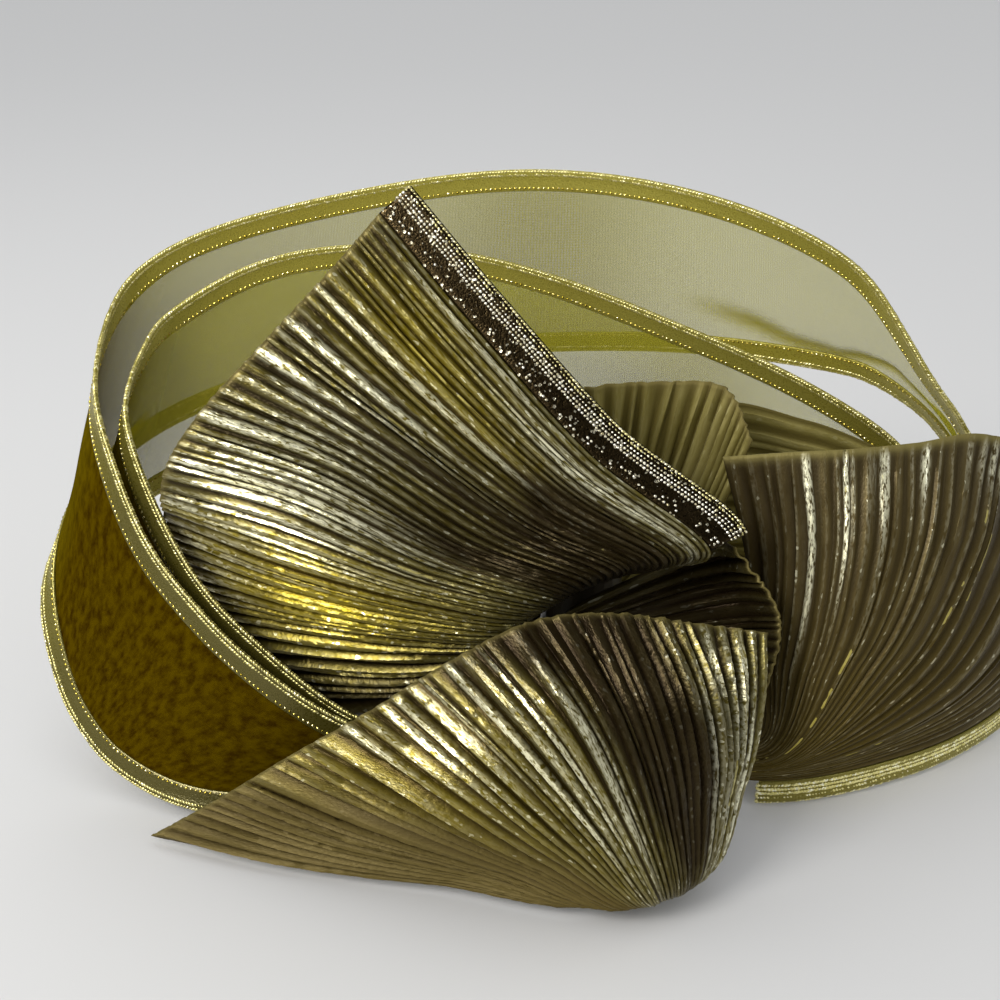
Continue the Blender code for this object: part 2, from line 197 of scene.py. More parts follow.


# Pleated foil cloth: painted shade in the valleys, painted highlights broken into flecks on the crests,
# and the zones of the leaf: painted highlight, painted yellow reflection, painted shade, dull finish and
# rim
def lameMaterial(name, finish):
    material, tree, shader = newMaterial(name)
    place, highlightZone = attribute(tree, "place", "Vector"), attribute(tree, "paintedHighlight")
    crest, rim, dull = (attribute(tree, name) for name in ("crest", "rim", "dull"))
    share = ranged(highlightZone, 0.0, 1.0, *finish["glintShare"])
    threads = foilParts(place, finish["grain"], finish["stretch"], share)
    height, tone = threads["Height"], threads["Tone"]
    # Painted shade: the colour darkens down into the valley of each pleat
    fold = ranged(crest, *finish["foldReach"])
    highlightRidge = ranged(crest, *finish["highlightReach"])
    # Painted reflection: in the yellow zones the cloth takes on yellow light bounced from the sheer
    # ribbon
    yellowBounce = times(attribute(tree, "yellowBounce"), ranged(tone, *finish["yellowBounceReach"], 0.6, 1.0))
    # Painted highlight: near-white strokes along the crests, spread wide over the pleats in the highlight
    # zones, with random flecks as painted glints
    spread = timesPlus(minus(fold, highlightRidge), highlightZone, highlightRidge)
    highlightStroke = times(spread, threads["Broken"])
    highlightWash = times(highlightStroke, ranged(highlightZone, 0.0, 1.0, finish["highlightStrokes"], 1.0))
    paintedGlint = times(times(threads["Glint"], highlightRidge), finish["sparkle"])
    # Painted shade: the dark zones, where the leaf lies in shadow, darken its colour and take its gloss
    # away
    shade = times(attribute(tree, "dark"), finish["paintedShadeDepth"])

    def toned(amount, first, second):
        return mixColours(amount, finish[first], finish[second])

    highlightColour = toned(yellowBounce, "paintedHighlight", "yellowBounceGlint")
    cloth = toned(ranged(tone, *finish["toneReach"]), "cloth", "clothPale")
    colour = mixColours(fold, finish["valleyShade"], cloth)
    for amount, layer in (
        (yellowBounce, toned(fold, "yellowBounceShade", "yellowBounce")),
        (highlightWash, highlightColour),
        (paintedGlint, highlightColour),
        (shade, finish["shade"]),
        (dull, toned(ranged(crest, *finish["dullReach"]), "dullValleyShade", "dullCrest")),
        (rim, finish["rim"]),
    ):
        colour = mixColours(amount, colour, layer)

    soft = calc("MAXIMUM", rim, dull)
    rough = ranged(height, *finish["heightReach"], *finish["roughness"])
    rough = minus(rough, times(paintedGlint, finish["fleckGloss"]))
    hard = times(minus(1.0, soft), minus(1.0, shade))
    glossy = times(calc("MAXIMUM", highlightWash, paintedGlint), hard)
    metallic = ranged(soft, 0.0, 1.0, finish["metallic"], finish["softMetallic"])
    lit = times(minus(finish["glintMetallic"], metallic), glossy)
    feedAll(shader, {
        "Base Color": colour,
        "Roughness": plus(rough, times(soft, finish["softDullness"])),
        "Metallic": plus(metallic, lit),
        "Coat Weight": times(glossy, finish["coat"]),
        "Coat Roughness": finish["coatRoughness"],
        "Specular IOR Level": finish["specular"],
    })
    bumpInto(shader, height, finish["bump"], finish["bumpDepth"])
    return material


lameFinish = dict(
    # Valley colours are painted shade in the grooves of the pleats, the near-white colours painted
    # highlights, the yellows a painted reflection of the yellow ribbon, and the shade colour painted
    # shade
    valleyShade=(0.026, 0.018, 0.005),
    cloth=(0.100, 0.079, 0.013),
    clothPale=(0.172, 0.142, 0.031),
    yellowBounceShade=(0.070, 0.046, 0.001),
    yellowBounce=(0.28, 0.215, 0.008),
    yellowBounceGlint=(0.93, 0.84, 0.44),
    paintedHighlight=(0.92, 0.89, 0.63),
    shade=(0.020, 0.012, 0.004),
    rim=(0.17, 0.135, 0.040),
    toneReach=(0.35, 0.65),
    yellowBounceReach=(0.3, 0.6),
    heightReach=(0.3, 1.0),
    dullReach=(0.1, 0.9),
    foldReach=(0.12, 0.80),
    highlightReach=(0.55, 0.90),
    dullValleyShade=(0.078, 0.054, 0.013),
    dullCrest=(0.128, 0.094, 0.024),
    paintedShadeDepth=0.92,
    highlightStrokes=0.07,  # share of the painted highlight strokes left outside the painted highlight zones
    sparkle=0.7,
    glintShare=(0.03, 0.30),
    grain=2.1,
    stretch=0.45,
    roughness=(0.24, 0.40),
    fleckGloss=0.06,
    softDullness=0.25,
    softMetallic=0.2,
    metallic=0.5,
    glintMetallic=0.72,
    coat=0.9,
    coatRoughness=0.16,
    specular=0.12,
    bump=0.7,
    bumpDepth=0.00013,
)
calmFinish = dict(
    lameFinish,
    valleyShade=(0.042, 0.029, 0.008),
    cloth=(0.062, 0.043, 0.011),
    clothPale=(0.088, 0.065, 0.021),
    yellowBounceShade=(0.044, 0.029, 0.001),
    yellowBounce=(0.072, 0.048, 0.002),
    yellowBounceGlint=(0.34, 0.25, 0.06),
    highlightReach=(0.86, 1.02),
    rim=(0.20, 0.165, 0.050),
    highlightStrokes=0.09,
    sparkle=0.5,
    glintShare=(0.03, 0.20),
    roughness=(0.36, 0.50),
    metallic=0.3,
    bump=0.45,
)
reverseFinish = dict(
    lameFinish,
    valleyShade=(0.125, 0.098, 0.020),
    cloth=(0.235, 0.195, 0.045),
    clothPale=(0.31, 0.262, 0.078),
    yellowBounce=(0.46, 0.370, 0.060),
    paintedHighlight=(0.60, 0.55, 0.28),
    yellowBounceGlint=(0.66, 0.57, 0.22),
    shade=(0.085, 0.066, 0.014),
    highlightStrokes=0.10,
    sparkle=0.25,
    coat=0.1,
    roughness=(0.46, 0.62),
    metallic=0.15,
    glintMetallic=0.4,
    bump=0.5,
)
lame = lameMaterial("pleatedLame", lameFinish)
lameCalm = lameMaterial("pleatedLameCalm", calmFinish)
lameReverse = lameMaterial("pleatedLameReverse", reverseFinish)

sheerFinish = dict(
    pale=(0.49, 0.455, 0.045),
    olive=(0.17, 0.132, 0.003),
    shadedAmber=(0.080, 0.049, 0.0005),
    amberDeep=(0.034, 0.017, 0.0004),
    creaseTone=(0.36, 0.31, 0.010),
    threadPitch=2.6,  # threads in a millimetre
    slubScale=0.35,
    slubReach=(0.38, 0.66),
    oliveFrom=0.8,  # closeness and painted shade from which the film is all olive
    alpha=(0.37, 0.96),  # where the film is most open, and where it is closest
    moreAlpha=(0.05, 0.1, 0.4),  # on the threads, in the amber with its painted shade, along the creases
    roughness=0.6,
    specular=0.0,
    bump=0.25,
    bumpDepth=0.0001,
)


# Sheer ribbon: two crossing sets of threads, closer and darker where the cloth is seen doubled; painted
# shade makes it closer and olive where it lies in shadow, and deep amber on the shaded doubled front
def sheerMaterial(name, finish):
    material, tree, shader = newMaterial(name)
    place = attribute(tree, "place", "Vector")
    closenessAndShade, shadedAmber, crease = (attribute(tree, name) for name in ("closenessAndShade", "shadedAmber", "crease"))
    parts = nextNode("ShaderNodeSeparateXYZ", {0: place}).outputs
    turn = 2 * math.pi * finish["threadPitch"]
    weft, warp = (calc("SINE", times(part, turn)) for part in (parts[0], parts[1]))
    weave = calc("MAXIMUM", weft, warp)
    slub = noise(place, finish["slubScale"], 3.0, 0.6)
    # The film turns olive where it lies doubled and where painted shade is put on it; the amber is
    # painted shade on the doubled front
    deep = ranged(closenessAndShade, 0.0, finish["oliveFrom"])
    colour = mixColours(deep, finish["pale"], finish["olive"])
    deeper = ranged(slub, *finish["slubReach"])
    colour = mixColours(shadedAmber, colour, mixColours(deeper, finish["shadedAmber"], finish["amberDeep"]))
    alpha = ranged(closenessAndShade, 0.0, 1.0, *finish["alpha"])
    for mask, amount in zip((weave, shadedAmber, crease), finish["moreAlpha"]):
        alpha = plus(alpha, times(mask, amount))
    feedAll(shader, {
        "Base Color": mixColours(crease, colour, finish["creaseTone"]),
        "Alpha": calc("MINIMUM", alpha, 1.0),
        "Roughness": finish["roughness"],
        "Specular IOR Level": finish["specular"],
    })
    bumpInto(shader, plus(weave, slub), finish["bump"], finish["bumpDepth"])
    return material


sheer = sheerMaterial("sheerRibbon", sheerFinish)


# Metallic thread: each bead has its own tone between the two colours, and along the band of a braid the
# tone is painted light; random cells carry painted glints
def threadMaterial(name, finish):
    material, tree, shader = newMaterial(name)
    coordinates = addNode(tree, "ShaderNodeTexCoord").outputs["Object"]
    inMillimetres = vectorTimes(coordinates, (1000.0, 1000.0, 1000.0))
    threads = foilParts(inMillimetres, finish["grain"], 1.0, finish["glintShare"])
    colour = mixColours(attribute(tree, "beadShade"), finish["dark"], finish["light"])
    height = threads["Height"]
    feedAll(shader, {
        # Painted glints: random cells of the thread take the near-white glint colour
        "Base Color": mixColours(threads["Glint"], colour, finish["glint"]),
        "Roughness": ranged(height, *finish["heightReach"], *finish["roughness"]),
        "Metallic": finish["metallic"],
    })
    bumpInto(shader, height, finish["bump"], finish["bumpDepth"])
    return material


goldBeadFinish = dict(
    dark=(0.30, 0.22, 0.02),
    light=(0.74, 0.60, 0.13),
    glint=(0.95, 0.85, 0.45),
    grain=2.4,
    glintShare=0.18,
    heightReach=(0.3, 1.0),
    roughness=(0.18, 0.36),
    metallic=1.0,
    bump=0.25,
    bumpDepth=0.0001,
)
# What sets the other threads apart from the gold bead's
threadChanges = dict(
    goldBead={},
    goldCord={
        "dark": (0.42, 0.36, 0.09), "light": (0.80, 0.72, 0.30), "glint": (1.0, 0.92, 0.55),
        "glintShare": 0.10, "metallic": 0.45,
    },
    brightCord={
        "dark": (0.58, 0.50, 0.12), "light": (1.0, 0.93, 0.46), "glint": (1.0, 0.97, 0.70),
        "glintShare": 0.16, "metallic": 0.35,
    },
    goldBand={
        "dark": (0.045, 0.034, 0.002), "light": (0.52, 0.45, 0.07), "glintShare": 0.0, "bump": 0.6,
        "metallic": 0.4,
    },
    silverBead={
        "dark": (0.42, 0.36, 0.20), "light": (0.92, 0.89, 0.76), "glint": (1.0, 0.97, 0.88),
        "metallic": 0.7,
    },
    paleCord={
        "dark": (0.30, 0.25, 0.08), "light": (0.80, 0.72, 0.34), "glint": (1.0, 0.94, 0.66),
        "glintShare": 0.2, "metallic": 0.6,
    },
    darkBand={
        "dark": (0.020, 0.013, 0.006), "light": (0.05, 0.036, 0.016), "glint": (0.80, 0.74, 0.55),
        "glintShare": 0.05, "bump": 0.8,
    },
)
threadCloth = {
    name: threadMaterial(name, dict(goldBeadFinish, **changes))
    for name, changes in threadChanges.items()
}
print("materials made")


# Points on the smooth curve through the control points, at shares 0 to 1 of the way
def curveAt(control, shares):
    control = np.asarray(control, float)
    spans = len(control) - 1
    place = np.asarray(shares, float) * spans
    first = np.clip(place.astype(int), 0, spans - 1)
    part = (place - first).reshape((-1,) + (1,) * (control.ndim - 1))
    longer = np.concatenate([
        [2 * control[0] - control[1]], control, [2 * control[-1] - control[-2]],
    ])
    before, start, end, after = (longer[first + step] for step in range(4))
    bend = 2 * before - 5 * start + 4 * end - after
    twist = 3 * start - before - 3 * end + after
    return start + ((end - before) * part + bend * part**2 + twist * part**3) * 0.5


# Where a ribbon is sewn on, round the post
def sewnPoints(angles, heights):
    turn = np.radians(angles)
    reach = comb["sewnReach"]
    return np.stack([
        comb["postX"] + reach * np.cos(turn),
        comb["postY"] + reach * np.sin(turn),
        np.asarray(heights) * shareLength,
    ], axis=-1)


def unit(vectors):
    return vectors / np.maximum(np.linalg.norm(vectors, axis=-1, keepdims=True), 1e-12)


def gridNormals(grid):
    return unit(np.cross(np.gradient(grid, axis=0), np.gradient(grid, axis=1)))


# Smooth random waves in both directions of a grid, from -1 to 1
def slowNoise(shape, knots, random):
    values = random.uniform(-1, 1, (knots[0], knots[1]))
    shares = [np.linspace(0, 1, size) for size in shape]
    along = curveAt(values, shares[0])
    return curveAt(along.T, shares[1]).T


def linkPiece(name, data, *materials):
    for material in materials:
        data.materials.append(material)
    piece = bpy.data.objects.new(name, data)
    bpy.context.collection.objects.link(piece)
    return piece


def setAttribute(mesh, name, values):
    values = np.asarray(values, np.float32)
    if values.ndim == 2:
        layer = mesh.attributes.new(name, "FLOAT_VECTOR", "POINT")
        layer.data.foreach_set("vector", values.ravel())
    else:
        layer = mesh.attributes.new(name, "FLOAT", "POINT")
        layer.data.foreach_set("value", values)


# Mesh of a grid of points, its corners in rows; facing -1 turns its front to the other side
def gridMesh(name, grid, facing, crease):
    rows, columns = grid.shape[:2]
    index = np.arange(rows * columns).reshape(rows, columns)
    corners = np.stack([index[:-1, :-1], index[1:, :-1], index[1:, 1:], index[:-1, 1:]], axis=-1)
    mesh = bpy.data.meshes.new(name)
    mesh.from_pydata(grid.reshape(-1, 3).tolist(), [], corners[..., ::facing].reshape(-1, 4).tolist())
    mesh.shade_smooth()
    mesh.set_sharp_from_angle(angle=math.radians(crease))
    return mesh


# Width and length that the cloth of a grid has when it is laid out flat, and its area
def flatSize(grid):
    across = np.linalg.norm(np.diff(grid, axis=0), axis=-1).sum(axis=0)
    along = np.linalg.norm(np.diff(grid, axis=1), axis=-1).sum(axis=1)
    sides = np.diff(grid, axis=0)[:, :-1], np.diff(grid, axis=1)[:-1]
    area = np.linalg.norm(np.cross(*sides), axis=-1).sum()
    return (float(across.max()), float(along.max())), float(area)


# Sum of soft spots; columns: across, along, half width across, half width along, amount
def spots(across, along, rows):
    total = np.zeros(np.broadcast(across, along).shape)
    for midAcross, midAlong, wide, long, amount in rows:
        total += amount * np.exp(-((across - midAcross) / wide)**2 - ((along - midAlong) / long)**2)
    return np.clip(total, 0, 1)


# Puts a finished piece in the CAD node's stead
def placed(piece, facts):
    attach(piece, "root")
    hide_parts(facts["node"])


# Piece of cloth from its grid of points; the layers are what its material reads at each point
def clothPiece(cloth, grid, flat, across, along, layers):
    mesh = gridMesh(cloth["name"], grid, cloth["facing"], cloth["crease"])
    place = np.stack([across * flat[0], along * flat[1], across * 0], axis=-1) / mm
    setAttribute(mesh, "place", place.reshape(-1, 3))
    for layer, amounts in layers.items():
        setAttribute(mesh, layer, amounts.ravel())
    piece = linkPiece(cloth["name"], mesh, *cloth["cloths"])
    wall = piece.modifiers.new("thickness", "SOLIDIFY")
    wall.thickness = cloth["thickness"]
    wall.offset = 0.0
    wall.material_offset = len(cloth["cloths"]) - 1
    placed(piece, cloth)
    return piece


def declareSheet(piece, flat, area):
    print(f"{piece.name}: flat {flat[0] / mm:.0f} x {flat[1] / mm:.0f} mm, area {area * 1e4:.0f} cm2")


# A pleat's corners: share of its width, height, and how far each strays from pleat to pleat
pleatProfile = (
    (0.00, 0.00, 0.00, 0.14),
    (0.13, 0.10, 0.03, 0.14),
    (0.36, 0.88, 0.09, 0.22),
    (0.47, 1.00, 0.09, 0.12),
    (0.62, 0.84, 0.08, 0.34),
    (0.87, 0.20, 0.03, 0.26),
)


# Places across the leaf and heights of its pleats, no two of them the same
def pleatCorners(leaf, random):
    pleats, stations = leaf["pleats"], leaf["stations"]
    widths = 1 + leaf["uneven"] * random.uniform(-1, 1, pleats)
    starts = np.concatenate([[0], np.cumsum(widths)]) / widths.sum()
    across, heights = [], []
    for share, height, shareStray, heightStray in pleatProfile:
        shares = share + shareStray * random.uniform(-1, 1, pleats)
        across.append(starts[:-1] + shares * np.diff(starts))
        strays = random.uniform(-1, 1, (pleats, leaf["heightKnots"]))
        strays = curveAt(strays.T, np.linspace(0, 1, stations + 1)).T
        heights.append(np.clip(height + heightStray * strays, 0, 1.1))
    across = np.append(np.stack(across, axis=1).ravel(), 1.0)
    heights = np.stack(heights, axis=1).reshape(-1, stations + 1)
    return across, np.concatenate([heights, heights[:1] * 0])


# Share of the painted highlight that each pleat takes along its length
def pleatGleams(leaf, random):
    knots = random.uniform(0, 1, (leaf["pleats"], leaf["gleamKnots"]))
    gleams = curveAt(knots.T, np.linspace(0, 1, leaf["stations"] + 1)).T
    start, reach = leaf["gleamRange"]
    gleams = np.repeat(smooth(gleams * reach - start), len(pleatProfile), axis=0)
    gleams = np.concatenate([gleams, gleams[-1:]])
    return leaf["gleamLeast"] + (1 - leaf["gleamLeast"]) * gleams


# Leaf of pleated cloth; a net's row is one pleat line, from the open edge to its sewn end
def pleatedLeaf(leaf):
    random = np.random.default_rng(leaf["seed"])
    rows = np.array(leaf["rows"])
    net = rows[:, :12].reshape(-1, 4, 3) * shareLength
    net = np.concatenate([net, sewnPoints(rows[:, 12], rows[:, 13])[:, None]], axis=1) + placeShift
    pleats, stations = leaf["pleats"], leaf["stations"]
    across, profile = pleatCorners(leaf, random)
    alongShares = np.linspace(0, 1, stations + 1)
    wander = slowNoise(profile.shape, (pleats, leaf["wanderKnots"]), random)
    inside = np.sin(math.pi * across)[:, None]
    placeAcross = across[:, None] + leaf["wander"] / pleats * wander * np.minimum(1, 4 * inside)
    lines = curveAt(net.swapaxes(0, 1), alongShares)
    grid = np.stack([
        curveAt(lines[station], placeAcross[:, station]) for station in range(stations + 1)
    ], axis=1)
    corners = len(pleatProfile)
    pitch = np.linalg.norm(np.gradient(grid, axis=0), axis=-1) * corners
    pitch = runningMean(np.pad(pitch, ((corners, corners), (0, 0)), mode="edge"), corners)
    strength = 1 + leaf["unevenHeight"] * slowNoise(pitch.shape, (pleats, leaf["heightKnots"]), random)
    edgeFade = leaf["edgeLift"] + (1 - leaf["edgeLift"]) * smooth(alongShares / leaf["edgeReach"])
    lift = np.minimum(leaf["slope"] * pitch / 2, leaf["limit"]) * strength * edgeFade
    roll = slowNoise(pitch.shape, leaf["rollKnots"], random) * np.sin(math.pi * alongShares)
    crinkle = random.normal(0, 1, lift.shape) * smooth(pitch / mm)
    gleams = pleatGleams(leaf, random)
    rise = (profile - 0.5) * lift + leaf["crinkle"] * crinkle + leaf["roll"] * roll * inside
    grid = grid + leaf["facing"] * gridNormals(grid) * rise[..., None]

    flat, area = flatSize(grid)
    wholeAcross = np.broadcast_to(across[:, None], profile.shape)
    wholeAlong = np.broadcast_to(alongShares[None, :], profile.shape)
    # Zones that the material reads: spots and streaks of painted highlight, each pleat taking it only as
    # far as its gleam, painted yellow reflection, painted shade and dull finish
    layers = {
        zone: spots(wholeAcross, wholeAlong, leaf.get(zone, ()))
        for zone in ("paintedHighlight", "highlightStreaks", "yellowBounce", "dark", "dull")
    }
    layers["paintedHighlight"] = np.maximum(layers["paintedHighlight"] * gleams, layers.pop("highlightStreaks"))
    layers["crest"] = profile
    layers["rim"] = leaf["rimTone"] * np.exp(-(wholeAlong * flat[1] / leaf["rimWidth"])**2)
    return clothPiece(leaf, grid, flat, wholeAcross, wholeAlong, layers), net, flat, area


def smooth(value):
    value = np.clip(value, 0, 1)
    return value * value * (3 - 2 * value)


# Mean of each row with its neighbours on either side; the rows reach that much past both ends
def runningMean(rows, reach):
    sums = np.cumsum(np.concatenate([rows[:1] * 0, rows]), axis=0)
    span = 2 * reach + 1
    return (sums[span:] - sums[:-span]) / span


leafDefaults = dict(
    facing=-1,  # which side of its rows the shown side of the leaf is on
    crease=38,  # degrees from which a fold is drawn sharp
    gleamKnots=5,
    gleamLeast=0.15,
    gleamRange=(0.7, 2.4),  # how dim a pleat starts, and how fast it brightens
    uneven=0.5,
    wander=0.16,
    wanderKnots=5,
    heightKnots=4,
    unevenHeight=0.6,
    slope=0.85,
    limit=1.7 * mm,
    edgeLift=0.5,
    edgeReach=0.12,
    roll=0.5 * mm,
    rollKnots=(7, 6),
    crinkle=0.045 * mm,
    thickness=0.35 * mm,
    rimWidth=0.9 * mm,
    rimTone=0.8,
    cloths=(lame, lameReverse),
    slot="pleated_lame",
)
# Columns of every leaf's rows: x, y, z at the open edge, at two places on the way and at the
# gathered end, then the angle round the post and the height of the row's sewn end
upperLeaf = dict(
    leafDefaults,
    name="upperLeafCloth",
    node="upper_leaf",
    facing=1,
    pleats=50,
    stations=120,
    seed=11,
    # Spots and narrow streaks of painted highlight
    paintedHighlight=(
        (0.57, 0.20, 0.11, 0.22, 1.3), (0.25, 0.22, 0.08, 0.20, 0.6), (0.08, 0.52, 0.05, 0.12, 0.5),
        (0.36, 0.12, 0.06, 0.14, 0.8), (0.72, 0.06, 0.09, 0.10, 0.8), (0.04, 0.30, 0.05, 0.30, 0.7),
    ),
    highlightStreaks=(
        (0.175, 0.25, 0.013, 0.24, 1.4), (0.235, 0.16, 0.012, 0.18, 1.2), (0.06, 0.58, 0.013, 0.20, 1.4),
        (0.41, 0.12, 0.012, 0.18, 1.3), (0.53, 0.20, 0.020, 0.25, 1.5), (0.30, 0.05, 0.010, 0.12, 1.0),
        (0.60, 0.25, 0.012, 0.22, 1.4),
    ),
    # Painted reflection of yellow light from the sheer ribbon
    yellowBounce=((0.76, 0.32, 0.12, 0.28, 1.0), (0.10, 0.17, 0.09, 0.16, 0.7), (0.16, 0.36, 0.05, 0.2, 0.4)),
    # Painted shade where the leaf lies in shadow
    dark=(
        (0.26, 0.60, 0.14, 0.17, 1.2), (0.46, 0.56, 0.07, 0.22, 1.0), (0.97, 0.40, 0.06, 0.5, 0.9),
        (0.16, 0.54, 0.06, 0.13, 0.8), (0.04, 0.04, 0.06, 0.07, 0.5), (0.30, 0.34, 0.04, 0.14, 0.6),
        (0.60, 0.98, 0.5, 0.16, 1.0), (0.30, 0.80, 0.3, 0.12, 0.9),
    ),
    rows=[
        (-0.215, 0.11, 1.11, -0.05, 0.03, 0.93, 0.16, -0.07, 0.72, 0.375, -0.14, 0.56, -62, 0.46),
        (-0.30, 0.07, 1.02, -0.105, -0.02, 0.83, 0.105, -0.11, 0.66, 0.295, -0.16, 0.555, -78, 0.45),
        (-0.425, 0.03, 0.895, -0.205, -0.05, 0.76, 0.035, -0.12, 0.605, 0.21, -0.17, 0.54, -94, 0.43),
        (-0.55, -0.01, 0.765, -0.305, -0.06, 0.69, -0.065, -0.12, 0.565, 0.13, -0.17, 0.51, -110, 0.41),
        (-0.625, 0.01, 0.64, -0.375, -0.09, 0.61, -0.125, -0.14, 0.52, 0.08, -0.16, 0.47, -126, 0.39),
        (-0.655, 0.13, 0.475, -0.40, -0.06, 0.475, -0.16, -0.13, 0.44, 0.025, -0.14, 0.415, -142, 0.37),
        (-0.595, 0.09, 0.30, -0.365, -0.03, 0.325, -0.165, -0.09, 0.335, -0.01, -0.10, 0.35, -158, 0.345),
        (-0.44, 0.04, 0.095, -0.235, 0.00, 0.125, -0.11, -0.035, 0.175, -0.02, -0.02, 0.24, -170, 0.30),
    ],
)
centreFold = dict(
    leafDefaults,
    name="centreFoldCloth",
    node="centre_fold",
    pleats=14,
    stations=60,
    seed=23,
    # Painted shadow over the whole fold, which lies under the overhanging upper leaf
    dark=((0.5, 0.45, 0.9, 0.9, 1.1),),
    rows=[
        (0.425, -0.09, 0.545, 0.395, -0.03, 0.525, 0.32, -0.015, 0.48, 0.14, -0.085, 0.425, -118, 0.34),
        (0.495, -0.13, 0.46, 0.44, -0.055, 0.42, 0.33, -0.04, 0.39, 0.15, -0.095, 0.36, -115, 0.28),
        (0.51, -0.15, 0.39, 0.45, -0.085, 0.35, 0.335, -0.065, 0.32, 0.16, -0.10, 0.28, -112, 0.21),
        (0.49, -0.16, 0.28, 0.44, -0.13, 0.26, 0.34, -0.10, 0.24, 0.17, -0.11, 0.19, -109, 0.14),
    ],
)
lowerLeaf = dict(
    leafDefaults,
    name="lowerLeafCloth",
    node="lower_leaf",
    pleats=44,
    stations=110,
    seed=5,
    slope=0.95,
    # Spots and narrow streaks of painted highlight
    paintedHighlight=(
        (0.42, 0.16, 0.12, 0.20, 0.38), (0.55, 0.38, 0.07, 0.20, 0.35), (0.96, 0.55, 0.06, 0.25, 0.8),
        (0.90, 0.15, 0.05, 0.12, 0.7),
    ),
    highlightStreaks=(
        (0.50, 0.28, 0.014, 0.30, 1.4), (0.545, 0.30, 0.010, 0.25, 1.2), (0.60, 0.38, 0.014, 0.26, 1.3),
        (0.40, 0.12, 0.014, 0.14, 1.2), (0.45, 0.15, 0.010, 0.16, 1.2), (0.86, 0.45, 0.012, 0.20, 1.2),
        (0.93, 0.30, 0.012, 0.20, 1.1), (0.97, 0.50, 0.012, 0.25, 1.1), (0.33, 0.06, 0.012, 0.10, 1.0),
    ),
    # Painted reflection of yellow light from the sheer ribbon
    yellowBounce=((0.28, 0.25, 0.15, 0.3, 0.6), (0.50, 0.30, 0.12, 0.3, 0.3)),
    # Painted shade where the leaf lies in shadow
    dark=((0.72, 0.22, 0.12, 0.36, 1.3), (0.80, 0.50, 0.08, 0.25, 1.0), (0.62, 0.0, 0.16, 0.12, 0.9)),
    dull=(
        (0.02, 0.30, 0.16, 0.9, 1.8), (0.18, 0.60, 0.12, 0.4, 1.4), (0.32, 0.85, 0.12, 0.32, 1.3),
        (0.45, 1.0, 0.12, 0.2, 1.0),
    ),
    rows=[
        (-0.655, -0.24, 0.018, -0.42, -0.32, 0.02, -0.125, -0.38, 0.025, 0.175, -0.42, 0.03, -100, 0.055),
        (-0.52, -0.27, 0.12, -0.30, -0.36, 0.10, -0.055, -0.41, 0.07, 0.20, -0.43, 0.032, -95, 0.06),
        (-0.37, -0.30, 0.24, -0.17, -0.40, 0.19, 0.035, -0.44, 0.11, 0.225, -0.44, 0.032, -90, 0.065),
        (-0.225, -0.32, 0.345, -0.06, -0.44, 0.275, 0.10, -0.47, 0.155, 0.245, -0.44, 0.034, -85, 0.07),
        (-0.085, -0.34, 0.455, 0.05, -0.46, 0.36, 0.165, -0.485, 0.205, 0.265, -0.44, 0.034, -80, 0.075),
        (0.05, -0.33, 0.525, 0.155, -0.46, 0.415, 0.23, -0.485, 0.24, 0.285, -0.43, 0.036, -75, 0.08),
        (0.185, -0.30, 0.525, 0.245, -0.43, 0.415, 0.29, -0.455, 0.245, 0.31, -0.42, 0.038, -70, 0.085),
        (0.325, -0.26, 0.485, 0.36, -0.355, 0.38, 0.375, -0.395, 0.23, 0.335, -0.395, 0.04, -65, 0.09),
        (0.48, -0.19, 0.425, 0.47, -0.25, 0.31, 0.435, -0.315, 0.19, 0.36, -0.36, 0.045, -60, 0.095),
    ],
)
rightLeaf = dict(
    leafDefaults,
    name="rightLeafCloth",
    node="right_leaf",
    pleats=32,
    stations=100,
    seed=37,
    slope=0.38,
    uneven=0.4,
    edgeLift=0.25,
    crinkle=0.02 * mm,
    rimWidth=1.9 * mm,
    rimTone=1.0,
    cloths=(lameCalm, lameReverse),
    # Narrow streaks of painted highlight
    highlightStreaks=(
        (0.18, 0.18, 0.015, 0.24, 1.5), (0.275, 0.12, 0.015, 0.16, 1.5), (0.36, 0.07, 0.014, 0.12, 1.5),
        (0.45, 0.06, 0.011, 0.08, 1.0), (0.62, 0.05, 0.05, 0.06, 0.9), (0.75, 0.05, 0.04, 0.06, 0.7),
    ),
    # Painted reflection of yellow light from the sheer ribbon
    yellowBounce=((0.6, 0.75, 0.5, 0.35, 1.0),),
    # Painted shade on the left edge, which lies in the shadow of the upper leaf hem
    dark=((0.06, 0.2, 0.08, 0.4, 0.5),),
    rows=[
        (0.415, 0.04, 0.67, 0.465, 0.01, 0.48, 0.485, -0.04, 0.285, 0.48, -0.10, 0.14, -40, 0.13),
        (0.53, -0.01, 0.70, 0.55, -0.06, 0.515, 0.54, -0.095, 0.31, 0.49, -0.12, 0.13, -38, 0.12),
        (0.635, -0.02, 0.71, 0.63, -0.10, 0.535, 0.595, -0.14, 0.33, 0.50, -0.14, 0.12, -36, 0.11),
        (0.76, 0.01, 0.71, 0.735, -0.09, 0.54, 0.665, -0.14, 0.335, 0.51, -0.14, 0.11, -34, 0.10),
        (0.91, 0.08, 0.70, 0.86, -0.04, 0.525, 0.755, -0.11, 0.31, 0.52, -0.14, 0.10, -32, 0.09),
        (1.07, 0.19, 0.60, 0.99, 0.05, 0.41, 0.84, -0.06, 0.22, 0.51, -0.135, 0.09, -30, 0.08),
        (1.15, 0.26, 0.36, 1.07, 0.11, 0.23, 0.87, -0.02, 0.13, 0.505, -0.13, 0.08, -28, 0.07),
        (1.14, 0.25, 0.12, 1.045, 0.125, 0.065, 0.80, -0.04, 0.06, 0.49, -0.12, 0.06, -26, 0.06),
    ],
)
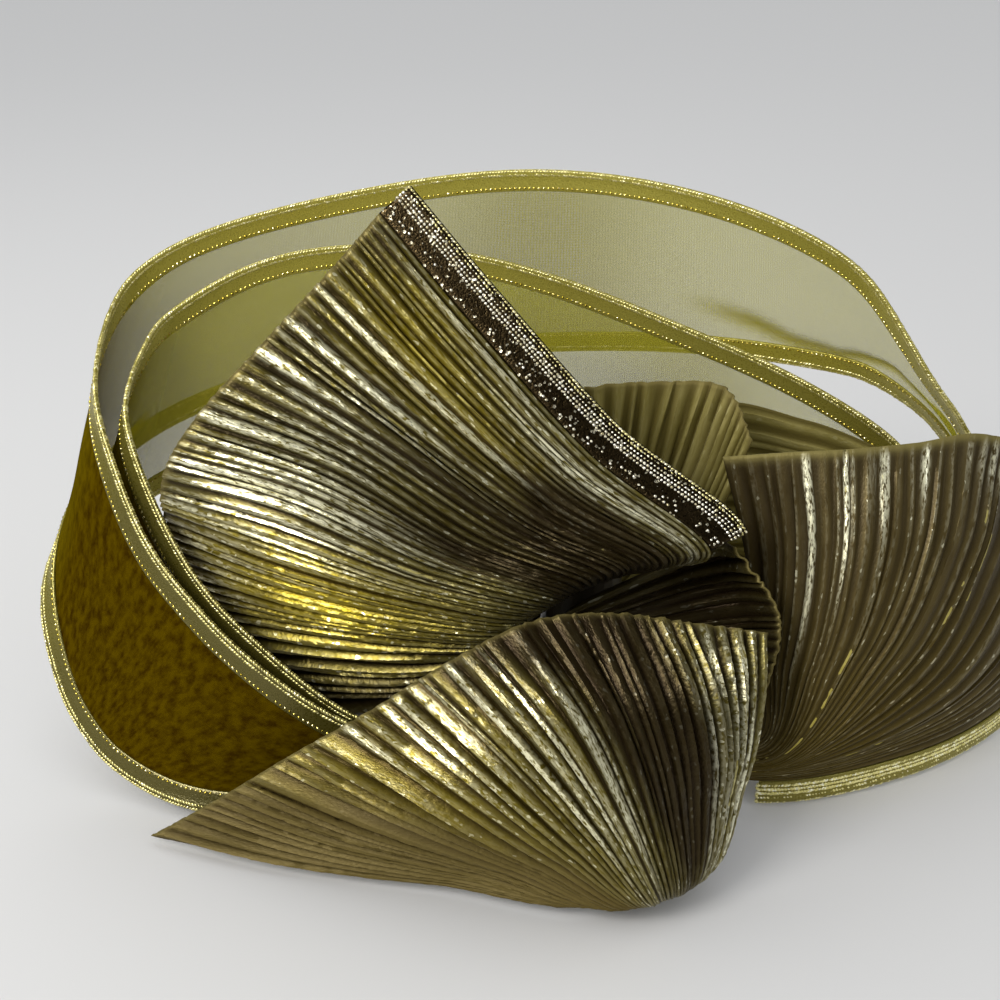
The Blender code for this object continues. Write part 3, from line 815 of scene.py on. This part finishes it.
rightLeafBack = dict(
    leafDefaults,
    name="rightLeafBackCloth",
    node="right_leaf_back",
    pleats=13,
    stations=60,
    seed=41,
    slope=0.16,
    crinkle=0.01 * mm,
    cloths=(lameReverse, lame),
    slot="pleated_lame_back",
    rows=[
        (0.80, 0.245, 0.59, 0.62, 0.27, 0.655, 0.40, 0.285, 0.68, 0.16, 0.30, 0.48, 98, 0.38),
        (0.80, 0.24, 0.45, 0.62, 0.265, 0.48, 0.40, 0.28, 0.48, 0.155, 0.295, 0.38, 98, 0.32),
        (0.80, 0.23, 0.32, 0.62, 0.255, 0.33, 0.40, 0.27, 0.33, 0.15, 0.29, 0.30, 98, 0.26),
    ],
)
backLeaf = dict(
    leafDefaults,
    name="backLeafCloth",
    node="back_leaf",
    pleats=17,
    stations=70,
    seed=43,
    slope=1.1,
    crinkle=0.02 * mm,
    # Painted shade where the leaf lies in shadow
    dark=((0.5, 0.6, 0.9, 0.6, 0.5),),
    cloths=(lameReverse, lame),
    slot="pleated_lame_back",
    rows=[
        (0.09, 0.19, 0.735, 0.13, 0.20, 0.60, 0.15, 0.20, 0.50, 0.165, 0.19, 0.47, 82, 0.46),
        (0.20, 0.215, 0.75, 0.205, 0.215, 0.61, 0.205, 0.20, 0.50, 0.20, 0.185, 0.45, 66, 0.43),
        (0.31, 0.22, 0.755, 0.285, 0.215, 0.61, 0.265, 0.195, 0.49, 0.24, 0.17, 0.43, 49, 0.40),
        (0.415, 0.20, 0.76, 0.37, 0.19, 0.60, 0.32, 0.17, 0.47, 0.27, 0.15, 0.40, 34, 0.37),
        (0.45, 0.14, 0.745, 0.40, 0.13, 0.58, 0.34, 0.125, 0.45, 0.285, 0.12, 0.38, 20, 0.34),
        (0.475, 0.085, 0.685, 0.42, 0.085, 0.53, 0.35, 0.09, 0.41, 0.29, 0.095, 0.35, 8, 0.31),
    ],
)


# Rows of beads along a guide line, beside the band that the guide comes with
def beadRowsTree():
    tree = bpy.data.node_groups.new("beadRows", "GeometryNodeTree")
    tree.is_modifier = True
    newSockets(
        tree, "INPUT", Geometry=["Geometry"], Int=["Rows", "Cord Rows", "Near Rows", "Seed"],
        Float=[
            "First Row", "Row Pitch", "Inner Gap", "Bead Spacing", "Bead Length", "Bead Width",
            "Bead Height", "Cord Stretch", "Inner Spread", "Inner Share", "Slant", "Uneven",
        ],
        Material=["Bead Material", "Cord Material"],
    )
    newSockets(tree, "OUTPUT", Geometry=["Geometry"])
    given = addNode(tree, "NodeGroupInput").outputs

    def enabled(sockets, name):
        return next(socket for socket in sockets if socket.enabled and socket.name == name)

    def named(name, kind):
        node = addNode(tree, "GeometryNodeInputNamedAttribute", {"Name": name}, data_type=kind)
        return enabled(node.outputs, "Attribute")

    def chance(low, high, offset):
        node = addNode(tree, "FunctionNodeRandomValue", data_type="FLOAT")
        seed = plus(given["Seed"], offset)
        for name, value in (("Min", low), ("Max", high), ("Seed", seed)):
            feed(value, enabled(node.inputs, name))
        return enabled(node.outputs, "Value")

    # Next step of the geometry; it goes in at the node's first socket and comes out at its first
    def step(kind, geometry, inputs=None, **facts):
        return nextNode("GeometryNode" + kind, {0: geometry} | (inputs or {}), **facts)

    def stored(geometry, name, field):
        node = step("StoreNamedAttribute", geometry, {"Name": name}, data_type="FLOAT", domain="INSTANCE")
        feed(field, enabled(node.inputs, "Value"))
        return node.outputs[0]

    isGuide = named("guide", "BOOLEAN")
    split = step("SeparateGeometry", given["Geometry"], {"Selection": isGuide}, domain="POINT").outputs
    line = step("MeshToCurve", split["Selection"]).outputs[0]
    copies = step("DuplicateElements", line, {"Amount": given["Rows"]}, domain="SPLINE").outputs
    row = copies["Duplicate Index"]
    isCord = calc("LESS_THAN", row, given["Cord Rows"])
    outerRows = plus(given["Cord Rows"], given["Near Rows"])
    isInner = calc("GREATER_THAN", row, minus(outerRows, 0.5))
    inset = timesPlus(row, given["Row Pitch"], given["First Row"])
    inset = scaled(named("inward", "FLOAT_VECTOR"), timesPlus(isInner, given["Inner Gap"], inset))
    moved = step("SetPosition", copies["Geometry"], {"Offset": inset}).outputs[0]
    spread = timesPlus(isInner, minus(given["Inner Spread"], 1.0), 1.0)
    spacing = times(given["Bead Spacing"], spread)
    points = step("ResampleCurve", moved, {"Length": spacing}, mode="LENGTH").outputs[0]

    tangent = addNode(tree, "GeometryNodeInputTangent").outputs[0]
    onBand = {0: named("upward", "FLOAT_VECTOR"), 1: tangent}
    frameTurn = nextNode("FunctionNodeAxesToRotation", onBand, primary_axis="Z", secondary_axis="X")
    side = timesPlus(calc("MODULO", row, 2.0), 2.0, -1.0)
    lean = nextNode("ShaderNodeCombineXYZ", {2: times(side, given["Slant"])}).outputs[0]
    leanTurn = nextNode("FunctionNodeEulerToRotation", {0: lean}).outputs[0]
    turns = {0: frameTurn.outputs[0], 1: leanTurn}
    turned = nextNode("FunctionNodeRotateRotation", turns, rotation_space="LOCAL").outputs[0]

    size = chance(minus(1.0, given["Uneven"]), plus(1.0, given["Uneven"]), 0.0)
    stretch = timesPlus(isCord, minus(given["Cord Stretch"], 1.0), 1.0)
    halves = nextNode("ShaderNodeCombineXYZ", {
        0: times(times(given["Bead Length"], 0.5), stretch),
        1: times(given["Bead Width"], 0.5),
        2: times(given["Bead Height"], 0.5),
    }).outputs[0]
    missing = times(isInner, minus(1.0, given["Inner Share"]))
    beads = step("InstanceOnPoints", points, {
        "Instance": addNode(tree, "GeometryNodeMeshUVSphere", {"Segments": 6, "Rings": 4}).outputs[0],
        "Selection": calc("GREATER_THAN", chance(0.0, 1.0, 3.0), missing),
        "Rotation": turned,
        "Scale": scaled(halves, size),
    }).outputs[0]

    calm = timesPlus(isCord, -0.5, 1.0)
    shade = timesPlus(chance(-0.5, 0.5, 7.0), calm, 0.5)
    shaded = stored(stored(beads, "beadShade", shade), "cordShare", isCord)
    real = step("RealizeInstances", shaded).outputs[0]
    soft = step("SetShadeSmooth", real).outputs[0]
    painted = step("SetMaterial", soft, {"Material": given["Bead Material"]}).outputs[0]
    onCord = calc("GREATER_THAN", named("cordShare", "FLOAT"), 0.5)
    cordPaint = {"Selection": onCord, "Material": given["Cord Material"]}
    painted = step("SetMaterial", painted, cordPaint).outputs[0]
    both = step("JoinGeometry", painted)
    feed(split["Inverted"], both.inputs[0])
    nextNode("NodeGroupOutput", {0: both.outputs[0]})
    return tree


beadRows = beadRowsTree()
beadInputs = {
    item.name: item.identifier
    for item in beadRows.interface.items_tree if item.in_out == "INPUT"
}

# Share of a band's width against its half thickness, from the outer edge in
bandProfile = [
    (0.0, 0.45), (0.05, 0.85), (0.16, 1.0), (0.34, 0.75), (0.55, 0.6), (0.8, 0.75), (0.95, 0.7),
    (1.0, 0.4),
]


# Sides square to an edge and nearest to the hints, and the normals that go with them
def squareSides(edge, hints):
    onward = unit(np.gradient(edge, axis=0))
    sides = unit(hints - onward * (hints * onward).sum(axis=-1, keepdims=True))
    return sides, np.cross(sides, onward)


# Band with rows of beads; near is the edge that lies by the cloth
def beadedBand(band, near, hints):
    sides, normals = squareSides(near, hints)
    width, half = band["width"], band["thickness"] / 2
    outer = near + sides * (band["gap"] + width)
    shares, halves = np.array(bandProfile).T
    insets = np.concatenate([shares, shares[::-1]]) * width
    halves = np.concatenate([halves, -halves[::-1]]) * half
    ring = outer[:, None] - sides[:, None] * insets[:, None] + normals[:, None] * halves[:, None]
    stations, corners = ring.shape[:2]
    index = np.arange(stations * corners).reshape(stations, corners)
    after = np.roll(index, -1, axis=1)
    faces = np.stack([index[:-1], index[1:], after[1:], after[:-1]], axis=-1).reshape(-1, 4).tolist()
    faces += [index[0].tolist(), index[-1][::-1].tolist()]
    points = np.concatenate([ring.reshape(-1, 3), outer])
    first = stations * corners
    lines = [(first + step, first + step + 1) for step in range(stations - 1)]
    mesh = bpy.data.meshes.new(band["name"])
    mesh.from_pydata(points.tolist(), lines, faces)
    mesh.shade_smooth()
    blank = np.zeros((first, 3))
    setAttribute(mesh, "inward", np.concatenate([blank, -sides]))
    setAttribute(mesh, "upward", np.concatenate([blank, normals]))
    guide = mesh.attributes.new("guide", "BOOLEAN", "POINT")
    guide.data.foreach_set("value", np.arange(len(points)) >= first)
    shares = np.linspace(0, 1, stations)
    # The tone of the band along its length; on the braids this is painted light, darkest at the near side
    # and lightest round the back
    shade = np.interp(shares, *zip(*band["bandShades"]))
    shade = np.concatenate([np.repeat(shade, corners), np.zeros(stations)])
    setAttribute(mesh, "beadShade", shade)

    piece = linkPiece(band["name"], mesh, band["bandCloth"])
    rows = piece.modifiers.new("beads", "NODES")
    rows.node_group = beadRows
    threads = {"Bead Material": band["beadCloth"], "Cord Material": band["cordCloth"]}
    for name, value in (band["beads"] | threads).items():
        rows[beadInputs[name]] = value
    evaluated = piece.evaluated_get(bpy.context.evaluated_depsgraph_get())
    whole = bpy.data.meshes.new_from_object(evaluated)
    piece.modifiers.remove(rows)
    piece.data = whole
    placed(piece, band)
    print(f"{band['name']}: {len(whole.polygons)} faces")
    return piece


braidBand = dict(
    width=4.6 * mm,
    thickness=0.9 * mm,
    gap=0.35 * mm,
    # Painted light: the band is darkest at the near side and lightest round the back, where light comes
    # through the ribbon
    bandShades=((0.0, 0.05), (0.25, 0.15), (0.36, 0.6), (0.5, 1.0), (0.7, 0.6), (1.0, 0.2)),
    bandCloth=threadCloth["goldBand"],
    beadCloth=threadCloth["goldBead"],
    cordCloth=threadCloth["goldCord"],
    slot="gold_braid",
    stations=260,
    beads={
        "Rows": 3,
        "Cord Rows": 2,
        "Near Rows": 0,
        "First Row": 0.36 * mm,
        "Row Pitch": 0.74 * mm,
        "Inner Gap": 2.1 * mm,
        "Bead Spacing": 0.64 * mm,
        "Bead Length": 0.95 * mm,
        "Bead Width": 0.66 * mm,
        "Bead Height": 1.05 * mm,
        "Cord Stretch": 1.5,
        "Inner Spread": 1.6,
        "Inner Share": 0.97,
        "Slant": 0.5,
        "Uneven": 0.12,
        "Seed": 3,
    },
)


# Line with its small turns evened out; both ends stay in place
def eased(line, reach):
    before = 2 * line[0] - line[reach:0:-1]
    after = 2 * line[-1] - line[-2:-reach - 2:-1]
    return runningMean(np.concatenate([before, line, after]), reach)


# Sheer ribbon between two braids; the rows give its top and bottom edges round the loop
def sheerLoop(loop):
    random = np.random.default_rng(loop["seed"])
    rows = np.array(loop["rows"]) * shareLength
    first, last = loop["ends"]
    edges = []
    for columns, heightColumn in ((slice(0, 3), 1), (slice(3, 6), 2)):
        ends = sewnPoints([first[0], last[0]], [first[heightColumn], last[heightColumn]])
        edges.append(np.concatenate([ends[:1], rows[:, columns], ends[1:]]) + placeShift)
    shares = np.linspace(0, 1, braidBand["stations"] + 1)
    top, low = (eased(curveAt(edge, shares), loop["easing"]) for edge in edges)
    ups = top - low
    inset = braidBand["width"] + braidBand["gap"]
    topSides, _ = squareSides(top, ups)
    lowSides, _ = squareSides(low, -ups)
    top = top - topSides * inset
    low = low - lowSides * inset

    strips = loop["strips"]
    hidden = loop["underBraid"]
    across = np.linspace(0, 1, strips + 1)
    upper, lower = top + topSides * hidden, low + lowSides * hidden
    grid = lower + (upper - lower) * across[:, None, None]
    normals = gridNormals(grid)
    belly = np.sin(math.pi * across)[:, None]
    wave = slowNoise(grid.shape[:2], loop["waveKnots"], random)
    gathers = np.sin(2 * math.pi * loop["gatherCount"] * across)[:, None]
    gathered = spots(across[:, None], shares[None, :], loop["gathers"])
    creases = sum(creaseLine(across, shares, crease) for crease in loop["creases"])
    lift = belly * (loop["wave"] * wave + loop["gatherLift"] * gathered * gathers)
    grid = grid + normals * (lift + loop["creaseLift"] * creases)[..., None]

    flat, area = flatSize(grid)
    shape = grid.shape[:2]
    wholeAcross = np.broadcast_to(across[:, None], shape)
    wholeAlong = np.broadcast_to(shares[None, :], shape)
    layers = {zone: spots(wholeAcross, wholeAlong, loop[zone]) for zone in ("closenessAndShade", "shadedAmber")}
    layers["crease"] = creases
    film = clothPiece(loop, grid, flat, wholeAcross, wholeAlong, layers)

    for name, edge, hints, seed in (("Top", top, ups, 3), ("Bottom", low, -ups, 8)):
        braid = dict(braidBand, name=loop["short"] + name + "Braid")
        braid["node"] = f"{loop['node']}_{name.lower()}_braid"
        braid["beads"] = dict(braidBand["beads"], Seed=seed)
        beadedBand(braid, edge, hints)
    declareSheet(film, flat, area)


# A soft fold that runs across a loop; columns of its points: share along, share across
def creaseLine(across, shares, crease):
    places = np.interp(shares, [row[0] for row in crease["line"]], [row[1] for row in crease["line"]])
    first, last = crease["line"][0][0], crease["line"][-1][0]
    fade = smooth((shares - first) / crease["fade"]) * smooth((last - shares) / crease["fade"])
    return np.exp(-((across[:, None] - places[None, :]) / crease["width"])**2) * fade[None, :]


outerLoop = dict(
    name="outerLoopSheer",
    short="outerLoop",
    node="outer_loop",
    slot="sheer_gold",
    cloths=(sheer,),
    facing=1,
    crease=180,
    seed=2,
    strips=22,
    underBraid=1.2 * mm,
    thickness=0.16 * mm,
    easing=6,  # stations on either side that an edge is evened over
    wave=0.5 * mm,
    waveKnots=(4, 22),
    gatherCount=5,
    gatherLift=0.5 * mm,
    gathers=((0.5, 0.76, 0.8, 0.04, 1.0), (0.5, 0.0, 0.8, 0.05, 1.0), (0.5, 1.0, 0.8, 0.06, 1.0)),
    creaseLift=0.7 * mm,
    creases=(
        {
            "line": (
                (0.565, 0.32), (0.592, 0.19), (0.606, 0.08), (0.628, 0.05), (0.66, 0.16), (0.687, 0.32),
                (0.72, 0.30), (0.78, 0.25),
            ),
            "width": 0.065,
            "fade": 0.03,
        },
    ),
    # Closer at the front, where the cloth lies doubled, and towards the end; the small spot in the middle
    # is painted shade behind the tip of the upper leaf, and the amber is painted shade on the doubled
    # front
    closenessAndShade=((0.5, 0.14, 2.5, 0.19, 2.2), (0.5, 0.53, 2.5, 0.03, 0.25), (0.5, 1.0, 2.5, 0.14, 1.2)),
    shadedAmber=((0.45, 0.12, 2.5, 0.18, 2.2),),
    ends=((-140, 0.18, 0.055), (50, 0.19, 0.06)),
    # Columns: top edge x, y, z, bottom edge x, y, z. Rows: from the front round the back
    rows=[
        (-0.13, -0.12, 0.17, -0.30, -0.15, 0.03),
        (-0.29, -0.15, 0.21, -0.57, -0.17, 0.015),
        (-0.47, -0.11, 0.33, -0.745, -0.09, 0.05),
        (-0.575, -0.05, 0.415, -0.82, -0.04, 0.105),
        (-0.675, 0.03, 0.505, -0.875, 0.01, 0.18),
        (-0.76, 0.15, 0.66, -0.915, 0.10, 0.31),
        (-0.80, 0.27, 0.76, -0.89, 0.23, 0.44),
        (-0.77, 0.43, 0.895, -0.83, 0.38, 0.50),
        (-0.635, 0.52, 0.98, -0.69, 0.52, 0.57),
        (-0.34, 0.60, 1.045, -0.38, 0.62, 0.64),
        (0.05, 0.63, 1.095, 0.045, 0.66, 0.673),
        (0.42, 0.59, 1.055, 0.43, 0.64, 0.68),
        (0.70, 0.49, 0.955, 0.72, 0.57, 0.66),
        (0.81, 0.43, 0.84, 0.815, 0.54, 0.64),
        (0.90, 0.38, 0.70, 0.90, 0.50, 0.597),
        (0.965, 0.35, 0.62, 0.97, 0.47, 0.53),
        (1.04, 0.34, 0.46, 1.05, 0.43, 0.37),
        (1.02, 0.28, 0.31, 1.02, 0.34, 0.18),
        (0.80, 0.27, 0.21, 0.80, 0.31, 0.08),
        (0.45, 0.23, 0.20, 0.45, 0.25, 0.065),
    ],
)
innerLoop = dict(
    outerLoop,
    name="innerLoopSheer",
    short="innerLoop",
    node="inner_loop",
    seed=6,
    gathers=((0.5, 0.80, 0.8, 0.05, 1.0), (0.5, 0.0, 0.8, 0.05, 1.0), (0.5, 1.0, 0.8, 0.06, 1.0)),
    creases=({"line": ((0.30, 0.5), (0.36, 0.45), (0.42, 0.5)), "width": 0.04, "fade": 0.03},),
    # Closer at the front, where the cloth lies doubled; the spots further round are painted shade where
    # the ribbon lies in shadow by the hem, and the amber is painted shade on the doubled front
    closenessAndShade=((0.5, 0.14, 2.5, 0.19, 2.3), (0.5, 0.56, 2.5, 0.10, 0.12), (0.5, 0.68, 2.5, 0.04, 0.2)),
    shadedAmber=((0.4, 0.10, 2.5, 0.18, 2.0),),
    ends=((-165, 0.175, 0.055), (28, 0.26, 0.09)),
    rows=[
        (-0.13, -0.08, 0.16, -0.30, -0.10, 0.03),
        (-0.28, -0.12, 0.205, -0.535, -0.12, 0.015),
        (-0.45, -0.07, 0.33, -0.69, -0.04, 0.075),
        (-0.56, -0.01, 0.417, -0.775, 0.01, 0.124),
        (-0.645, 0.07, 0.52, -0.84, 0.05, 0.158),
        (-0.71, 0.15, 0.65, -0.885, 0.14, 0.27),
        (-0.725, 0.22, 0.73, -0.865, 0.22, 0.34),
        (-0.70, 0.30, 0.81, -0.82, 0.30, 0.40),
        (-0.65, 0.37, 0.865, -0.75, 0.36, 0.44),
        (-0.51, 0.44, 0.935, -0.595, 0.43, 0.50),
        (-0.325, 0.49, 0.962, -0.37, 0.48, 0.53),
        (-0.085, 0.51, 0.945, -0.10, 0.50, 0.52),
        (0.15, 0.49, 0.886, 0.155, 0.49, 0.50),
        (0.36, 0.45, 0.81, 0.37, 0.45, 0.47),
        (0.56, 0.40, 0.736, 0.575, 0.41, 0.44),
        (0.735, 0.34, 0.652, 0.74, 0.37, 0.42),
        (0.84, 0.31, 0.57, 0.84, 0.34, 0.34),
        (0.88, 0.24, 0.45, 0.87, 0.25, 0.24),
        (0.78, 0.17, 0.34, 0.77, 0.18, 0.14),
        (0.50, 0.16, 0.28, 0.50, 0.17, 0.09),
    ],
)

sheerLoop(outerLoop)
sheerLoop(innerLoop)

upperHem = dict(
    name="upperLeafBeadHem",
    node="upper_leaf_hem",
    width=7.5 * mm,
    thickness=1.1 * mm,
    gap=0.0,
    bandShades=((0.0, 0.5), (1.0, 0.3)),
    bandCloth=threadCloth["darkBand"],
    beadCloth=threadCloth["silverBead"],
    cordCloth=threadCloth["paleCord"],
    slot="bead_hem",
    beads={
        "Rows": 7,
        "Cord Rows": 2,
        "Near Rows": 3,
        "First Row": 0.42 * mm,
        "Row Pitch": 0.72 * mm,
        "Inner Gap": 1.7 * mm,
        "Bead Spacing": 0.74 * mm,
        "Bead Length": 0.78 * mm,
        "Bead Width": 0.68 * mm,
        "Bead Height": 1.3 * mm,
        "Cord Stretch": 1.45,
        "Inner Spread": 1.2,
        "Inner Share": 0.36,
        "Slant": 0.35,
        "Uneven": 0.12,
        "Seed": 21,
    },
)
rightHem = dict(
    upperHem,
    name="rightLeafBeadHem",
    node="right_leaf_hem",
    width=5.0 * mm,
    bandCloth=threadCloth["goldBand"],
    beadCloth=threadCloth["goldBead"],
    cordCloth=threadCloth["brightCord"],
    slot="gold_braid",
    beads=dict(
        braidBand["beads"],
        **{"Rows": 5, "Cord Rows": 5, "Row Pitch": 0.92 * mm, "Bead Width": 0.9 * mm, "Seed": 31},
    ),
)
hemRun = dict(
    stations=120,
    end=0.74,  # share of the leaf's length where its hem stops
    hint=0.08,  # share across the leaf that shows which way the upper hem points
)


# Edge of a leaf that a hem runs along, and the points that tell which way it lies
def hemEdge(net, side):
    shares = np.linspace(0, hemRun["end"], hemRun["stations"] + 1)
    lines = curveAt(net.swapaxes(0, 1), shares)
    edge = np.stack([curveAt(line, [side])[0] for line in lines])
    inner = np.stack([curveAt(line, [hemRun["hint"]])[0] for line in lines])
    return edge, inner


def sewnLeaf(leaf, hems=()):
    piece, net, flat, area = pleatedLeaf(leaf)
    for hem, side, direction in hems:
        edge, inner = hemEdge(net, side)
        hints = edge - inner if direction is None else np.broadcast_to(direction, edge.shape)
        beadedBand(hem, edge, hints)
    declareSheet(piece, flat, area)


sewnLeaf(upperLeaf, ((upperHem, 0.0, None),))
sewnLeaf(centreFold)
sewnLeaf(lowerLeaf)
sewnLeaf(rightLeaf, ((rightHem, 1.0, (0.0, 0.0, -1.0)),))
sewnLeaf(rightLeafBack)
sewnLeaf(backLeaf)
print("leaves made")

combFinish = dict(
    colour=(0.035, 0.027, 0.014),
    paler=(0.07, 0.055, 0.03),
    roughness=(0.32, 0.5),
    flowScale=220.0,
    grainScale=900.0,
)


# The comb's moulded plastic, with faint flow marks
def combMaterial(name, finish):
    material, tree, shader = newMaterial(name)
    coordinates = addNode(tree, "ShaderNodeTexCoord").outputs["Object"]
    flow = noise(coordinates, finish["flowScale"], 4.0, 0.6)
    feed(mixColours(flow, finish["colour"], finish["paler"]), shader.inputs["Base Color"])
    feed(ranged(flow, 0.3, 0.7, *finish["roughness"]), shader.inputs["Roughness"])
    bumpInto(shader, noise(coordinates, finish["grainScale"]), 0.2, 0.00005)
    return material


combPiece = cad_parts["hair_comb"]
combPiece.data.materials.clear()
combPiece.data.materials.append(combMaterial("combPlastic", combFinish))

studio = dict(
    floorSize=6.0,
    floorColour=(0.67, 0.665, 0.66),
    floorRoughness=0.7,
    surround=(0.97, 0.985, 1.0),
    surroundStrengths=(0.92, 0.05),  # for what it lights, and for what it is mirrored in
    # Columns: name, place, size across, size up, power, colour, whether it lights matt things too
    lights=(
        ("keyWindow", (-0.50, -0.50, 0.62), 0.34, 0.30, 3.2, (1.0, 0.98, 0.94), True),
        ("keyGlint", (-0.52, -0.42, 0.60), 0.46, 0.40, 12.0, (1.0, 0.99, 0.96), False),
        ("rightGlint", (0.75, -0.35, 0.55), 0.12, 0.40, 1.6, (0.94, 0.97, 1.0), False),
        ("backGlint", (-0.25, 0.75, 0.75), 0.80, 0.30, 5.0, (1.0, 1.0, 1.0), False),
    ),
)
camera = dict(
    lens=50.4,
    sensor=36.0,
    elevation=24.0,
    distance=0.26,
    aimHeight=0.060,
)


def aimedAt(place, target):
    return (Vector(target) - Vector(place)).to_track_quat("-Z", "Y").to_euler()


def setStudio():
    half = studio["floorSize"] / 2
    mesh = bpy.data.meshes.new("floor")
    corners = [(-half, -half, 0), (half, -half, 0), (half, half, 0), (-half, half, 0)]
    mesh.from_pydata(corners, [], [(0, 1, 2, 3)])
    material, _, shader = newMaterial("paleFloor")
    feedAll(shader, {"Base Color": studio["floorColour"], "Roughness": studio["floorRoughness"]})
    floor = linkPiece("floor", mesh, material)
    world = bpy.data.worlds.new("studio")
    world.use_nodes = True
    sky = world.node_tree
    back = sky.nodes["Background"]
    back.inputs["Color"].default_value = (*studio["surround"], 1.0)
    mirrored = addNode(sky, "ShaderNodeLightPath").outputs["Is Glossy Ray"]
    feed(ranged(mirrored, 0.0, 1.0, *studio["surroundStrengths"]), back.inputs["Strength"])
    bpy.context.scene.world = world
    bpy.context.scene.view_settings.view_transform = "Standard"
    middle = (0.0, 0.0, camera["aimHeight"])
    for name, place, across, up, power, colour, lightsMatt in studio["lights"]:
        light = bpy.data.lights.new(name, "AREA")
        light.shape = "RECTANGLE"
        light.size, light.size_y = across, up
        light.energy = power
        light.color = colour
        lamp = linkPiece(name, light)
        lamp.location = place
        lamp.rotation_euler = aimedAt(place, middle)
        lamp.visible_diffuse = lightsMatt


def setCamera():
    lens = bpy.data.cameras.new("photoView")
    lens.lens = camera["lens"]
    lens.sensor_width = camera["sensor"]
    lens.clip_start = 0.01
    viewer = linkPiece("photoView", lens)
    rise = math.radians(camera["elevation"])
    aim = Vector((placeShift[0], placeShift[1], camera["aimHeight"]))
    away = Vector((0.0, -math.cos(rise), math.sin(rise))) * camera["distance"]
    viewer.location = aim + away
    viewer.rotation_euler = aimedAt(viewer.location, aim)
    bpy.context.scene.camera = viewer


setStudio()
setCamera()
print("studio set")
